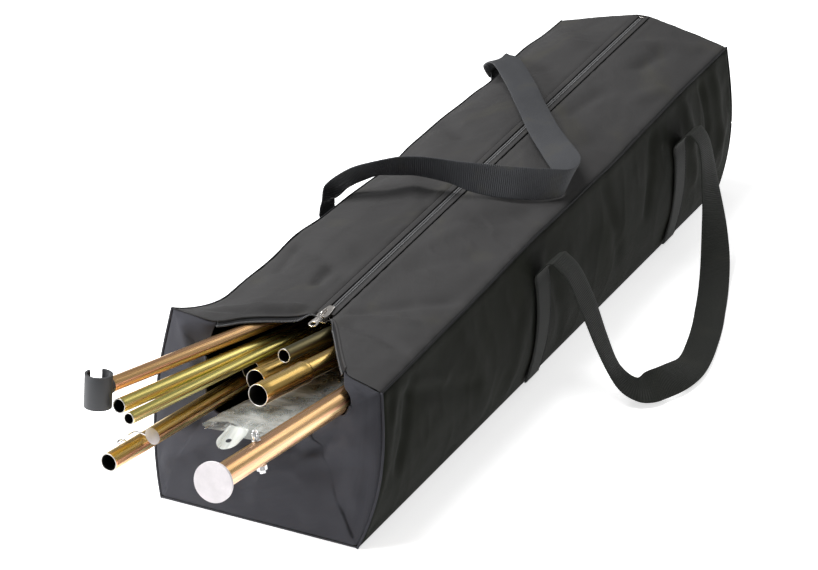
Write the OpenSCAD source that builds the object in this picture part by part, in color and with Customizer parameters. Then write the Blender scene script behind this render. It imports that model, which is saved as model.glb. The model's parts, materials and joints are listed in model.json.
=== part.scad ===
// A carrying bag of dog agility weave poles: a long box-shaped fabric bag, unzipped at its
// front end, with nine steel poles, their end fittings and a pouch of ground pegs in it.
// Lengths are in millimetres. The bag lies along Y with its open end towards -Y, and the
// origin is the middle of its base. Inside this file y counts from the front bottom edge.

/* [Bag] */
// Length of the bag along its base
bag_length = 1100; // [1080:10:1120]
// Half the width of the base
base_half = 122; // [121:1:124]
// Half the width across the top seams at the front
seam_half_front = 131; // [130:1:132]
// Half the width across the top seams at the rear
seam_half_rear = 124; // [123:1:125]
// Height of the top seams at the front
seam_front_z = 168; // [166:1:170]
// Height of the top seams at the rear
seam_rear_z = 212; // [210:1:214]
// How far the side walls belly out
side_belly = 14; // [12:1:16]
// Height of the zip line where it starts at the slider
zip_front_z = 181; // [180:1:182]
// Slope of the zip line in degrees
zip_slope = 3.5; // [3.5]
// How far the top panels belly up between seam and zip
top_belly = 7; // [5:1:8]
// Thickness of the fabric panels
fabric = 2; // [1.5:0.5:2]
// How far the front end leans back, per unit of height
front_lean = 0.25; // [0.25]
// How far the front left corner stands up above its seam
ear_height = 40; // [36:1:42]

/* [Zip] */
// Where the slider stands along the bag
slider_y = 150; // [148:1:152]
// Half the width of the coil
coil_half = 2.9; // [2.8:0.1:3]
// Gap between the two halves of the coil
coil_gap = 1; // [1:0.1:1.2]
// Width of each zip tape
tape_w = 7; // [6.5:0.5:7.5]
// Length of the pull tab
pull_length = 28; // [26:1:30]

/* [Webbing] */
// Width of the webbing
web_w = 39; // [38:0.5:40]
// Thickness of the webbing
web_t = 2; // [1.6:0.2:2]

/* [Poles] */
// Wall of the pole tubes
tube_wall = 1.2; // [1:0.1:1.4]
// Outer diameter of the narrow poles
pole_narrow_d = 13; // [12.5:0.5:13]
// Outer diameter of the common poles
pole_common_d = 16; // [15.5:0.5:16]
// Outer diameter of the pole with the lock pin
pole_pin_d = 20; // [19.5:0.5:20]
// Outer diameter of the tubes with a socket
pole_socket_d = 22; // [22]
// Outer diameter of the sockets
socket_d = 24.5; // [24.5]
// Free depth of a socket
socket_depth = 60; // [55:5:70]
// Whole length of a socket
socket_length = 90; // [85:5:100]
// Outer diameter of the pole with the foot
pole_foot_d = 25; // [24.5:0.5:25]
// Diameter of a socket's free bore
socket_bore_d = 22.4; // [22.4]
// Diameter of the foot plate
foot_plate_d = 41; // [40:1:46]

/* [Clip] */
// Inner radius of the clip
clip_r = 12; // [11.5:0.5:12.5]
// Height of the clip
clip_height = 36; // [34:1:40]
// Angle left open in the clip
clip_gap_angle = 60; // [50:5:75]

/* [Hidden] */
$fn = 48;
// Where each pole's front end lies, then its rise and its swing to the left in degrees
clip_at = [[-96, -127, 204.7], 6.7, 9.2];
common_at = [[-75, -144, 193.5], 8.2, 5.3];
narrow_at = [[-59.5, -150.5, 185.5], 6.2, 5.5];
short_at = [[3.3, 60, 176.4], 6.8, 5.9];
pin_at = [[-79, -162.5, 136], 3.8, 3.9];
socket_a_at = [[-47, 75, 141], 7.2, 6.5];
socket_b_at = [[-16, 31.5, 155.5], 7.2, 5.8];
socket_c_at = [[25, -34.5, 178], 7.4, 4.5];
foot_at = [[106, -259.5, 209.5], 9.9, -2.9];
pouch_at = [[-10, -20, 121], 7.1, 4];
// Tube lengths
long_pole = 1150;
mid_pole = 1120;
short_pole = 900;
socket_pole = 1000;
// Cross holes: distance behind the front end, and the way the fitting points around the tube
pin_back = 62;
pin_roll = 39;
pin_d = 5;
bolt_back = 95;
bolt_roll = 106;
bolt_d = 6;
// Sideways running clearance of pins and plugs
run_gap = 0.08;
// Gap kept between pieces that move past each other
air = 0.3;
// Where the handles are sewn to the side walls along the bag, and the height of their top ends
left_ends = [440, 935];
right_ends = [440, 890];
sewn_top = 146;
// The rings of the side walls lean back with the front end up to here
lean_reach = 300;
// Gap left at the seam between side wall and top panel
seam_gap = 0.6;
// Where the loops turn on their sewn ends: distance from the middle and height
left_hinge = [150, 172];
right_hinge = [160, 168];
// Gap from a loop's turning line to the webbing on either side of it
left_fold_gap = 1.5;
right_fold_gap = 2;
// How far the left webbing passes inside its turning line, so that the loop folds down over it
left_fold_in = 2.4;
left_fold_x = left_hinge[0] - left_fold_in;
// How far sewn webbing stands off the wall
sewn_air = 1.1;

// ---- small helpers ----

function mix(a, b, t) = a + (b - a) * t;
function unit(v) = v / norm(v);
function row(v, n) = [for (i = [0 : n]) i * v / n];

// Moves from the bag's front bottom edge to the shared origin
module in_bag() {
    translate([0, -bag_length / 2, 0]) children();
}

// Places a piece built along +Z with local Y upward on a line that rises and swings
module on_line(at) {
    in_bag() translate(at[0]) rotate([90 - at[1], 0, -at[2]]) children();
}

// Turns a piece built along Z so that it lies across the tube, rolled around it
module across(back, roll) {
    translate([0, 0, -back]) rotate([0, 0, roll]) rotate([0, 90, 0]) children();
}

// Closed thin skin between two grids of points of the same size
module skin(outer, inner) {
    rows = len(outer);
    cols = len(outer[0]);
    count = rows * cols;
    points = concat([for (r = outer) each r], [for (r = inner) each r]);
    function at(r, c) = r * cols + c;
    faces = concat(
        [for (r = [0 : rows - 2], c = [0 : cols - 2]) each [
            [at(r, c), at(r, c + 1), at(r + 1, c + 1)],
            [at(r, c), at(r + 1, c + 1), at(r + 1, c)],
            [count + at(r, c), count + at(r + 1, c + 1), count + at(r, c + 1)],
            [count + at(r, c), count + at(r + 1, c), count + at(r + 1, c + 1)]]],
        [for (r = [0 : rows - 2]) each [
            [at(r, 0), at(r + 1, 0), count + at(r + 1, 0)],
            [at(r, 0), count + at(r + 1, 0), count + at(r, 0)],
            [at(r, cols - 1), count + at(r + 1, cols - 1), at(r + 1, cols - 1)],
            [at(r, cols - 1), count + at(r, cols - 1), count + at(r + 1, cols - 1)]]],
        [for (c = [0 : cols - 2]) each [
            [at(0, c), count + at(0, c + 1), at(0, c + 1)],
            [at(0, c), count + at(0, c), count + at(0, c + 1)],
            [at(rows - 1, c), at(rows - 1, c + 1), count + at(rows - 1, c + 1)],
            [at(rows - 1, c), count + at(rows - 1, c + 1), count + at(rows - 1, c)]]]);
    polyhedron(points, faces, convexity = 6);
}

// ---- the bag's shape ----

// Height of the zip line, and of the plain seams, along the bag
function zip_z(y) = zip_front_z + (y - slider_y) * tan(zip_slope);
function seam_z(y) = mix(seam_front_z, seam_rear_z, max(0, y / bag_length));
function leaned(y, z) = y + front_lean * z * max(0, 1 - y / lean_reach);
function ear(y) = ear_height * pow(max(0, 1 - max(0, y - 50) / 120), 1.6);
// side is -1 on the left and 1 on the right; only the left front corner stands up
function edge_z(side, y) = seam_z(y) + (side < 0 ? ear(y) : 0);
function edge_x(y) = mix(seam_half_front, seam_half_rear, y / bag_length);

// The same height for a ring of the side wall, which leans back near the front
function lean_edge(side, y) =
    let (guess = edge_z(side, y + 50 * max(0, 1 - y / lean_reach)))
    edge_z(side, leaned(y, guess)) - seam_gap;

// Side wall: t runs from the base edge to the top seam
function wall_x(y, t) = mix(base_half, edge_x(y), t) + side_belly * sin(180 * pow(t, 0.9));
// Top panel: t runs from the side seam to the zip
top_inner_half = coil_half + tape_w;
function top_x(y, t) = mix(edge_x(y), top_inner_half, t);
function top_z(side, y, t) = mix(edge_z(side, y), zip_z(y), t) + top_belly * sin(180 * t);

// Where the top panels begin: the opening runs back to the slider
mouth_corner_y = 54;
function top_start(x) = mix(slider_y + 8, mouth_corner_y, pow(min(1, x / seam_half_front), 0.8));

// Distances along the bag at which the panels have a ring of points
wall_stations = concat([0, 30, 60, 100, 150, 210], [for (i = [3 : 11]) i * bag_length / 11]);

// One point of a side wall, off its outer face by depth towards the inside
function wall_point(side, y, t, depth) =
    let (z = t * lean_edge(side, y) + depth * (1 - 2 * t), x = wall_x(y, t) - depth)
    [side * x, leaned(y, z), z];

module side_wall(side) {
    steps = row(1, 6);
    outer = [for (y = wall_stations) [for (t = steps) wall_point(side, y, t, 0)]];
    inner = [for (y = wall_stations) [for (t = steps) wall_point(side, y, t, fabric)]];
    if (side > 0) skin(inner, outer);
    else skin(outer, inner);
}

module base_panel() {
    color([0.16, 0.16, 0.16])
    in_bag()
    skin(
        [for (y = [0, bag_length])
            [for (s = [-1, 1]) [s * (base_half - fabric), leaned(y, fabric), fabric]]],
        [for (y = [0, bag_length]) [for (s = [-1, 1]) [s * base_half, y, 0]]]);
}

module left_side_panel() {
    color([0.17, 0.17, 0.17]) in_bag() side_wall(-1);
}

module right_side_panel() {
    color([0.15, 0.16, 0.14]) in_bag() side_wall(1);
}

// One point of a top panel; v runs from the opening to the rear
function top_point(side, v, t, depth) =
    let (x0 = top_x(0, t), y = mix(top_start(x0), bag_length, v),
         x = top_x(y, t) - depth * (1 - t), z = top_z(side, y, t) - depth)
    [side * x, y, z];

top_ring = concat([0, 0.03, 0.07, 0.13], [for (i = [2 : 10]) i / 10]);

module top_panel(side) {
    steps = row(1, 5);
    outer = [for (v = top_ring) [for (t = steps) top_point(side, v, t, 0)]];
    inner = [for (v = top_ring) [for (t = steps) top_point(side, v, t, fabric)]];
    if (side > 0) skin(inner, outer);
    else skin(outer, inner);
}

module left_top_panel() {
    color([0.24, 0.23, 0.22]) in_bag() top_panel(-1);
}

module right_top_panel() {
    color([0.24, 0.23, 0.22]) in_bag() top_panel(1);
}

// Outline of an end of the bag, in x and height
function end_wall(side, y) =
    [for (t = row(1, 6)) [side * wall_x(y, t), t * lean_edge(side, y)]];
function end_top(side, y) =
    [for (t = row(1, 5)) [side * top_x(y, t), top_z(side, y, t)]];
function back_to_front(v) = [for (i = [len(v) - 1 : -1 : 0]) v[i]];

// The open mouth in the front end, in x and height
mouth_outline = [[-104, 260], [-98, 190], [-86, 150], [-76, 112], [-66, 103], [-6, 104],
    [38, 108], [58, 122], [88, 141], [103, 150], [110, 172], [112, 260]];

module front_end_panel() {
    lean_angle = atan(front_lean);
    stretch = 1 / cos(lean_angle);
    outline = concat(end_wall(1, 0), back_to_front(end_wall(-1, 0)));
    color([0.22, 0.22, 0.24])
    in_bag()
    rotate([90 - lean_angle, 0, 0])
    linear_extrude(fabric)
    difference() {
        polygon([for (p = outline) [p[0], p[1] * stretch]]);
        polygon([for (p = mouth_outline) [p[0], p[1] * stretch]]);
    }
}

module rear_end_panel() {
    y = bag_length;
    color([0.16, 0.17, 0.15])
    in_bag()
    translate([0, y + fabric, 0])
    rotate([90, 0, 0])
    linear_extrude(fabric)
    polygon(concat(
        end_wall(1, y), end_top(1, y), back_to_front(end_top(-1, y)), back_to_front(end_wall(-1, y))));
}

// ---- the zip ----

// Places a piece along the zip line, which starts at the slider
module on_zip(back) {
    in_bag()
    translate([0, slider_y, zip_front_z])
    rotate([zip_slope, 0, 0])
    translate([0, back, 0])
    children();
}

zip_length = (bag_length - slider_y) / cos(zip_slope) - 6;
tape_t = 1;
tape_drop = 1.2;

module zip_tape(side) {
    color([0.08, 0.08, 0.09])
    on_zip(14)
    translate([side * (coil_half + tape_w / 2), (zip_length - 14) / 2, -tape_drop - tape_t / 2])
    cube([tape_w, zip_length - 14, tape_t], center = true);
}

module left_zip_tape() {
    zip_tape(-1);
}

module right_zip_tape() {
    zip_tape(1);
}

coil_w = coil_half - coil_gap / 2;

module zip_coil(side) {
    color([0.3, 0.3, 0.31])
    on_zip(26)
    translate([side * (coil_gap / 2 + coil_w / 2), (zip_length - 30) / 2, -tape_drop])
    cube([coil_w, zip_length - 30, 2.2], center = true);
}

module left_zip_coil() {
    zip_coil(-1);
}

module right_zip_coil() {
    zip_coil(1);
}

module zip_end_stop() {
    color([0.7, 0.7, 0.72])
    on_zip(zip_length - 2)
    translate([0, 0, -tape_drop])
    cube([2 * coil_half, 3, 2.6], center = true);
}

slider_l = 26;
slider_w = 13;
plate_t = 1.2;
hinge_h = 4.6;

module zip_slider() {
    color([0.75, 0.75, 0.77])
    on_zip(0) {
        difference() {
            union() {
                translate([-slider_w / 2, 0, 0.4]) cube([slider_w, slider_l, plate_t]);
                translate([-slider_w / 2, 0, -4.4]) cube([slider_w, slider_l, plate_t]);
                translate([-0.35, 0, -4]) cube([0.7, 14, 5]);
                for (s = [-1, 1]) translate([s * 3.6 - 0.9, 2, 1]) cube([1.8, 8, 5.2]);
            }
            translate([-8, 5, hinge_h - 0.6]) rotate([0, 90, 0]) cylinder(d = 2.2, h = 16);
        }
    }
}

module zip_pull() {
    color([0.78, 0.78, 0.8])
    on_zip(5)
    translate([0, 0, hinge_h - 0.6]) {
        rotate([0, 90, 0]) cylinder(d = 2.2 - 2 * run_gap, h = 9.6, center = true);
        rotate([4, 0, 0])
        difference() {
            union() {
                translate([-2.3, -8, -0.7]) cube([4.6, 8, 1.4]);
                translate([-3.6, -pull_length + 6, -0.7]) cube([7.2, pull_length - 14, 1.4]);
                translate([0, -pull_length + 6, -0.7]) cylinder(d = 11, h = 1.4);
            }
            translate([0, -pull_length + 6, -2]) cylinder(d = 5.5, h = 4);
        }
    }
}

// ---- webbing ----

// Each row is a point on the middle of the strap and the direction of its width
left_route = [
    [-left_fold_x, left_ends[0], left_hinge[1] + left_fold_gap, 0, 1, 0],
    [-146, 440, 184, 0, 1, 0],
    [-138, 447, 201, 0.4, 0.8, -0.2],
    [-112, 450, 220, 0.3, 0.75, -0.5],
    [-84, 452, 233, 0.1, 0.75, -0.65],
    [-50, 470, 236, 0.2, 0.6, -0.75],
    [-12, 482, 233, 0.2, 0.4, -0.85],
    [25, 484, 230, 0.15, 0.1, -0.98],
    [67, 500, 225, 0.1, -0.3, -0.95],
    [100, 526, 219, 0, -0.2, -0.95],
    [121, 552, 216, -0.3, 0, -0.95],
    [113, 580, 220, -0.5, -0.35, -0.8],
    [84, 612, 225, -0.75, -0.5, -0.4],
    [44, 660, 229, -0.8, -0.55, -0.15],
    [-2, 722, 234, -0.8, -0.55, 0],
    [-48, 784, 240, -0.75, -0.6, 0],
    [-92, 842, 240, -0.6, -0.75, 0],
    [-128, 890, 220, -0.3, -0.95, 0],
    [-146, 931, 196, 0, -1, 0],
    [-147, 935, 184, 0, -1, 0],
    [-left_fold_x, left_ends[1], left_hinge[1] + left_fold_gap, 0, -1, 0]];
right_route = [
    [right_hinge[0] + right_fold_gap, right_ends[0], right_hinge[1], 0, 1, 0],
    [179, 441, 152, 0, 1, 0],
    [195, 445, 117, 0, 1, 0.1],
    [214, 447, 70, -0.1, 1, 0.1],
    [236, 446, 32, -0.3, 0.95, 0.2],
    [262, 447, 17, -0.45, 0.8, 0.35],
    [284, 464, 21, -0.4, 0.3, 0.85],
    [294, 510, 16, -0.8, 0.1, 0.55],
    [289, 570, 6, -1, -0.1, 0.1],
    [272, 650, 2.5, -1, -0.25, 0],
    [248, 738, 2.5, -0.95, -0.3, 0],
    [224, 812, 12, -0.9, -0.45, 0.05],
    [203, 862, 52, -0.5, -0.85, 0],
    [186, 884, 100, -0.2, -1, 0],
    [174, 890, 150, 0, -1, 0],
    [right_hinge[0] + right_fold_gap, right_ends[1], right_hinge[1], 0, -1, 0]];

function smooth_at(r, i, t) =
    let (a = r[max(i - 1, 0)], b = r[i], c = r[i + 1], d = r[min(i + 2, len(r) - 1)])
    0.5 * (2 * b + (c - a) * t + (2 * a - 5 * b + 4 * c - d) * t * t
        + (3 * b - a - 3 * c + d) * t * t * t);
function smooth_route(r, n) = concat(
    [for (i = [0 : len(r) - 2]) for (k = [0 : n - 1]) smooth_at(r, i, k / n)], [r[len(r) - 1]]);
function place(q) = [q[0], q[1], q[2]];
function width_of(q) = unit([q[3], q[4], q[5]]);

// A flat band along a route; its thickness stands across both the route and its width
module band(route, w, t) {
    r = smooth_route(route, 3);
    last = len(r) - 1;
    rings = [for (i = [0 : last])
        let (
            along = unit(place(r[min(i + 1, last)]) - place(r[max(i - 1, 0)])),
            face = unit(cross(along, width_of(r[i]))),
            wide = cross(face, along) * w / 2,
            thick = face * t / 2,
            p = place(r[i]))
        [p - wide - thick, p + wide - thick, p + wide + thick, p - wide + thick]];
    points = [for (ring = rings) each ring];
    faces = concat(
        [[0, 1, 2, 3]],
        [for (i = [0 : last - 1], k = [0 : 3])
            each [[4 * i + k, 4 * i + 4 + k, 4 * i + 4 + (k + 1) % 4],
                  [4 * i + k, 4 * i + 4 + (k + 1) % 4, 4 * i + (k + 1) % 4]]],
        [[4 * last + 3, 4 * last + 2, 4 * last + 1, 4 * last]]);
    polyhedron(points, faces, convexity = 10);
}

// Webbing sewn on a side wall, from just above the base up to the fold of the handle's loop
module sewn_strap(side, y, tail) {
    off = sewn_air + web_t / 2;
    steps = [for (i = [0 : 7]) mix(0.045, sewn_top / seam_z(y), i / 7)];
    sewn = [for (t = steps) concat(wall_point(side, y, t, -off), [0, 1, 0])];
    loose = [for (p = tail) [side * p[0], y, p[1], 0, 1, 0]];
    color([0.13, 0.13, 0.14])
    in_bag()
    band(concat(sewn, loose), web_w, web_t);
}

// Loose tops of the sewn webbing: distance from the middle and height
left_tail = [[145, 160], [left_fold_x, left_hinge[1] - left_fold_gap]];
right_tail = [[148, 160], [153, 166], [right_hinge[0] - right_fold_gap, right_hinge[1]]];

module left_front_sewn_strap() {
    sewn_strap(-1, left_ends[0], left_tail);
}

module left_rear_sewn_strap() {
    sewn_strap(-1, left_ends[1], left_tail);
}

module right_front_sewn_strap() {
    sewn_strap(1, right_ends[0], right_tail);
}

module right_rear_sewn_strap() {
    sewn_strap(1, right_ends[1], right_tail);
}

module left_handle_loop() {
    color([0.2, 0.2, 0.22]) in_bag() band(left_route, web_w, web_t);
}

module right_handle_loop() {
    color([0.2, 0.2, 0.2]) in_bag() band(right_route, web_w, web_t);
}

// ---- poles ----

module tube(d, wall, from, to) {
    translate([0, 0, -to])
    difference() {
        cylinder(d = d, h = to - from);
        translate([0, 0, -1]) cylinder(d = d - 2 * wall, h = to - from + 2);
    }
}

module clip_pole_tube() {
    color([0.86, 0.66, 0.42]) on_line(clip_at) tube(pole_common_d, tube_wall, 0, long_pole);
}

clip_wall = 2.6;
// Direction of the clip's gap around its bore
clip_gap_at = 214;
clip_reach = 17.5;
plug_d = pole_common_d - 2 * tube_wall;

// The clip's bore stands upright in front of the tube; its gap opens to the rear left
module pole_clip() {
    color([0.22, 0.22, 0.24])
    on_line(clip_at) {
        difference() {
            union() {
                translate([0, 0, -24]) cylinder(d = plug_d, h = 24 + 5);
                cylinder(d = pole_common_d + 1, h = 5);
            }
            translate([0, clip_height, clip_reach])
            rotate([90, 0, 0])
            cylinder(r = clip_r + 0.5, h = 2 * clip_height);
        }
        translate([0, 0, clip_reach])
        rotate([90, 0, 0])
        translate([0, 0, -clip_height / 2])
        difference() {
            cylinder(r = clip_r + clip_wall, h = clip_height);
            translate([0, 0, -1]) cylinder(r = clip_r, h = clip_height + 2);
            translate([0, 0, -1])
            linear_extrude(clip_height + 2)
            polygon([[0, 0],
                for (s = [-1, 0, 1])
                    let (a = clip_gap_at + s * clip_gap_angle / 2) 30 * [cos(a), sin(a)]]);
        }
    }
}
module common_pole_tube() {
    color([0.82, 0.8, 0.5]) on_line(common_at) tube(pole_common_d, tube_wall, 0, long_pole);
}

module narrow_pole_tube() {
    color([0.85, 0.85, 0.55]) on_line(narrow_at) tube(pole_narrow_d, tube_wall, 0, mid_pole);
}

module short_pole_tube() {
    color([0.55, 0.56, 0.4]) on_line(short_at) tube(pole_common_d, tube_wall, 0, short_pole);
}

module pin_pole_tube() {
    color([0.78, 0.66, 0.36])
    on_line(pin_at)
    difference() {
        tube(pole_pin_d, tube_wall, 0, long_pole);
        across(pin_back, pin_roll)
        cylinder(d = pin_d + 2 * run_gap, h = pole_pin_d + 4, center = true);
    }
}

pin_reach = pole_pin_d / 2 + 4;

module lock_pin() {
    color([0.9, 0.9, 0.92])
    on_line(pin_at)
    across(pin_back, pin_roll) {
        translate([0, 0, -pin_reach]) cylinder(d = pin_d, h = 2 * pin_reach);
        translate([0, 0, pole_pin_d / 2 + 3.6])
        intersection() {
            translate([0, 0, -12]) sphere(r = 15.5, $fn = 64);
            cylinder(d = 19, h = 6);
        }
    }
}

bail_wire = 2;
bail_half = pole_pin_d / 2 + 1.9;
bail_length = 34;

// Spring wire that arches from one end of the pin, over the tube, to the other end
module lock_pin_bail() {
    steps = 28;
    sides = 8;
    path = [for (i = [0 : steps])
        let (a = 180 * i / steps, s = sin(a))
        [bail_half * cos(a),
         11.6 * pow(s, 0.6) + 7.5 * sin(180 * s) * (1 - 0.35 * s),
         mix(pin_d / 2 + 0.8, bail_length, s)]];
    rings = [for (i = [0 : steps])
        let (
            along = unit(path[min(i + 1, steps)] - path[max(i - 1, 0)]),
            up = unit(cross(along, [0, 0, 1]) + [0, 0.001, 0]),
            over = cross(up, along))
        [for (k = [0 : sides - 1])
            path[i] + bail_wire / 2 * (cos(360 * k / sides) * up + sin(360 * k / sides) * over)]];
    color([0.85, 0.85, 0.86])
    on_line(pin_at)
    translate([0, 0, -pin_back])
    rotate([0, 0, pin_roll]) {
        for (s = [-1, 1])
            translate([s * bail_half, 0, 0])
            rotate([0, 90, 0])
            difference() {
                cylinder(r = pin_d / 2 + 1.6, h = bail_wire, center = true);
                cylinder(r = pin_d / 2 + run_gap, h = 2 * bail_wire, center = true);
            }
        polyhedron(
            [for (ring = rings) each ring],
            concat(
            [[for (k = [sides - 1 : -1 : 0]) k]],
            [for (i = [0 : steps - 1], k = [0 : sides - 1]) each
                [[sides * i + k, sides * i + (k + 1) % sides, sides * (i + 1) + (k + 1) % sides],
                 [sides * i + k, sides * (i + 1) + (k + 1) % sides, sides * (i + 1) + k]]],
            [[for (k = [0 : sides - 1]) sides * steps + k]]),
            convexity = 6);
    }
}

module socket_tube(at) {
    color([0.86, 0.72, 0.35]) on_line(at) tube(pole_socket_d, tube_wall, socket_depth + 1, socket_pole);
}

module socket(at) {
    color([0.88, 0.75, 0.38])
    on_line(at)
    translate([0, 0, -socket_length])
    difference() {
        cylinder(d = socket_d, h = socket_length);
        translate([0, 0, -1]) cylinder(d = pole_socket_d, h = socket_length);
        translate([0, 0, socket_length - socket_depth]) cylinder(d = socket_bore_d, h = socket_depth + 1);
    }
}

module socket_pole_a_tube() {
    socket_tube(socket_a_at);
}

module socket_a() {
    socket(socket_a_at);
}

module socket_pole_b_tube() {
    socket_tube(socket_b_at);
}

module socket_b() {
    socket(socket_b_at);
}

module socket_pole_c_tube() {
    socket_tube(socket_c_at);
}

module socket_c() {
    socket(socket_c_at);
}

module foot_pole_tube() {
    color([0.88, 0.7, 0.42])
    on_line(foot_at)
    difference() {
        tube(pole_foot_d, tube_wall, 0, mid_pole);
        across(bolt_back, bolt_roll)
        cylinder(d = bolt_d + 2 * run_gap, h = pole_foot_d + 4, center = true);
    }
}

plate_thickness = 3;
plug_depth = 16;

module foot_plate() {
    color([0.93, 0.91, 0.91])
    on_line(foot_at) {
        cylinder(d = foot_plate_d, h = plate_thickness, $fn = 72);
        translate([0, 0, -plug_depth]) cylinder(d = pole_foot_d - 2 * tube_wall, h = plug_depth);
    }
}

bolt_hub = 1.2;
wing_ring_r = 4.6;
wing_wire = 2.4;

module wing_bolt() {
    color([0.85, 0.85, 0.86])
    on_line(foot_at)
    across(bolt_back, bolt_roll) {
        translate([0, 0, -pole_foot_d / 2 - 8]) cylinder(d = bolt_d, h = pole_foot_d + 10);
        translate([0, 0, pole_foot_d / 2 + air]) cylinder(d = 9, h = bolt_hub);
        translate([0, 0, pole_foot_d / 2 + bolt_hub + wing_ring_r + 0.6])
        rotate([90, 0, 0])
        rotate_extrude()
        translate([wing_ring_r, 0]) circle(d = wing_wire);
    }
}

module bolt_nut() {
    color([0.85, 0.85, 0.86])
    on_line(foot_at)
    across(bolt_back, bolt_roll)
    translate([0, 0, -pole_foot_d / 2 - 5 - 0.1])
    difference() {
        cylinder(d = 11, h = 5, $fn = 6);
        translate([0, 0, -1]) cylinder(d = bolt_d + 2 * run_gap, h = 7);
    }
}

// ---- pouch of ground pegs ----

pouch_w = 84;
pouch_t = 12;
pouch_l = 230;
pouch_skin = 1.2;
pouch_roll = 3;
peg_d = 6;
peg_l = 190;
peg_gap = 15;
tab_w = 27;
tab_l = 36;
tab_t = 2;
tab_x = 2;
tab_bend = 24;

module pouch_tab() {
    difference() {
        cube([tab_w, tab_t, tab_l]);
        translate([tab_w / 2, 0, tab_l - 13]) rotate([90, 0, 0]) cylinder(d = 6.5, h = 20, center = true);
    }
}

module peg_pouch() {
    color([0.85, 0.87, 0.87])
    on_line(pouch_at)
    rotate([0, 0, pouch_roll]) {
        difference() {
            translate([-pouch_w / 2, -pouch_t / 2, -pouch_l]) cube([pouch_w, pouch_t, pouch_l]);
            translate([-pouch_w / 2 + pouch_skin, -pouch_t / 2 + pouch_skin, -pouch_l + pouch_skin])
            cube([pouch_w - 2 * pouch_skin, pouch_t - 2 * pouch_skin, pouch_l]);
        }
        translate([tab_x - tab_w / 2, pouch_t / 2 - tab_t, -2]) rotate([tab_bend, 0, 0]) pouch_tab();
    }
}

module ground_pegs() {
    color([0.82, 0.82, 0.84])
    on_line(pouch_at)
    rotate([0, 0, pouch_roll])
    for (i = [0 : 3])
        translate([-pouch_w / 2 + 10 + i * peg_gap, 0, -pouch_l + 8 + (3 - i) * 8]) {
            cylinder(d = peg_d, h = peg_l);
            translate([0, 0, peg_l]) cylinder(d1 = peg_d, d2 = 1, h = 22);
        }
}

base_panel();
left_side_panel();
right_side_panel();
front_end_panel();
rear_end_panel();
left_top_panel();
right_top_panel();
left_zip_tape();
right_zip_tape();
left_zip_coil();
right_zip_coil();
zip_end_stop();
zip_slider();
zip_pull();
left_front_sewn_strap();
left_rear_sewn_strap();
right_front_sewn_strap();
right_rear_sewn_strap();
left_handle_loop();
right_handle_loop();
clip_pole_tube();
pole_clip();
common_pole_tube();
narrow_pole_tube();
short_pole_tube();
pin_pole_tube();
lock_pin();
lock_pin_bail();
socket_pole_a_tube();
socket_a();
socket_pole_b_tube();
socket_b();
socket_pole_c_tube();
socket_c();
foot_pole_tube();
foot_plate();
wing_bolt();
bolt_nut();
peg_pouch();
ground_pegs();
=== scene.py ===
import json
import math

import bpy
import numpy as np
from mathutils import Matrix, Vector, noise


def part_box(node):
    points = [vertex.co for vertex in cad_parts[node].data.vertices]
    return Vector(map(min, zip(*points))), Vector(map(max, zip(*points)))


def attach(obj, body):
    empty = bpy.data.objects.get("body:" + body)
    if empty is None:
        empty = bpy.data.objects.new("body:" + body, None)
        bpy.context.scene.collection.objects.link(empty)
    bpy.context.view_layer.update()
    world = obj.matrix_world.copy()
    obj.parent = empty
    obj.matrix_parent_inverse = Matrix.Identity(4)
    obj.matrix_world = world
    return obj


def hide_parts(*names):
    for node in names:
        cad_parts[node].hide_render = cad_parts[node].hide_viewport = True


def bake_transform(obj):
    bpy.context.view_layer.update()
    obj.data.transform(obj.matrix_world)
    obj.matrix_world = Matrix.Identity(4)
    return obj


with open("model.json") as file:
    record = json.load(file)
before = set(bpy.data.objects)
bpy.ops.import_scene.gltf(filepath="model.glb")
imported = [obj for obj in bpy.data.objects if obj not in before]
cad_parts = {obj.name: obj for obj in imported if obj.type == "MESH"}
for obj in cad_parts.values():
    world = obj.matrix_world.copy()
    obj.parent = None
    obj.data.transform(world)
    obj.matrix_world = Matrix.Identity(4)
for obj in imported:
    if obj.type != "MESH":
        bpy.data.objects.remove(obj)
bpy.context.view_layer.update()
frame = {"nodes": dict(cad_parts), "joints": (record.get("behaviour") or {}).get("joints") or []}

# Lengths inside the shape functions are millimetres, with y counted from the bag's front
# bottom edge. Meshes are in metres in the shared frame, whose origin is mid-base.
MM = 0.001
base_low, base_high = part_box("base_panel")
BAG_LENGTH = round((base_high.y - base_low.y) / MM, 1)
JOINTS = {j["name"]: j for j in frame["joints"]}


# ---- meshes ----

def to_frame(points):
    """Millimetres from the bag's front edge into metres in the shared frame."""
    moved = np.asarray(points, float).reshape(-1, 3).copy()
    moved[:, 1] -= BAG_LENGTH / 2
    return moved * MM


def new_object(name, data):
    item = bpy.data.objects.new(name, data)
    bpy.context.scene.collection.objects.link(item)
    return item


def make_piece(name, points, faces, materials, uvs=None, face_slots=None, body="bag"):
    """A mesh object riding on a body; uvs are one pair per point."""
    mesh = bpy.data.meshes.new(name)
    mesh.from_pydata([tuple(p) for p in to_frame(points)], [], faces)
    for material in materials:
        mesh.materials.append(material)
    if uvs is not None:
        layer = mesh.uv_layers.new(name="UVMap")
        for loop in mesh.loops:
            layer.data[loop.index].uv = uvs[loop.vertex_index]
    if face_slots is not None:
        mesh.polygons.foreach_set("material_index", face_slots)
    mesh.polygons.foreach_set("use_smooth", [True] * len(mesh.polygons))
    mesh.update()
    piece = new_object(name, mesh)
    if body:
        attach(piece, body)
    return piece


def dress(piece, slot, *nodes):
    """Hides the CAD nodes that a piece stands in for; the slot is not used."""
    if nodes:
        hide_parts(*nodes)
    return piece


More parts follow.
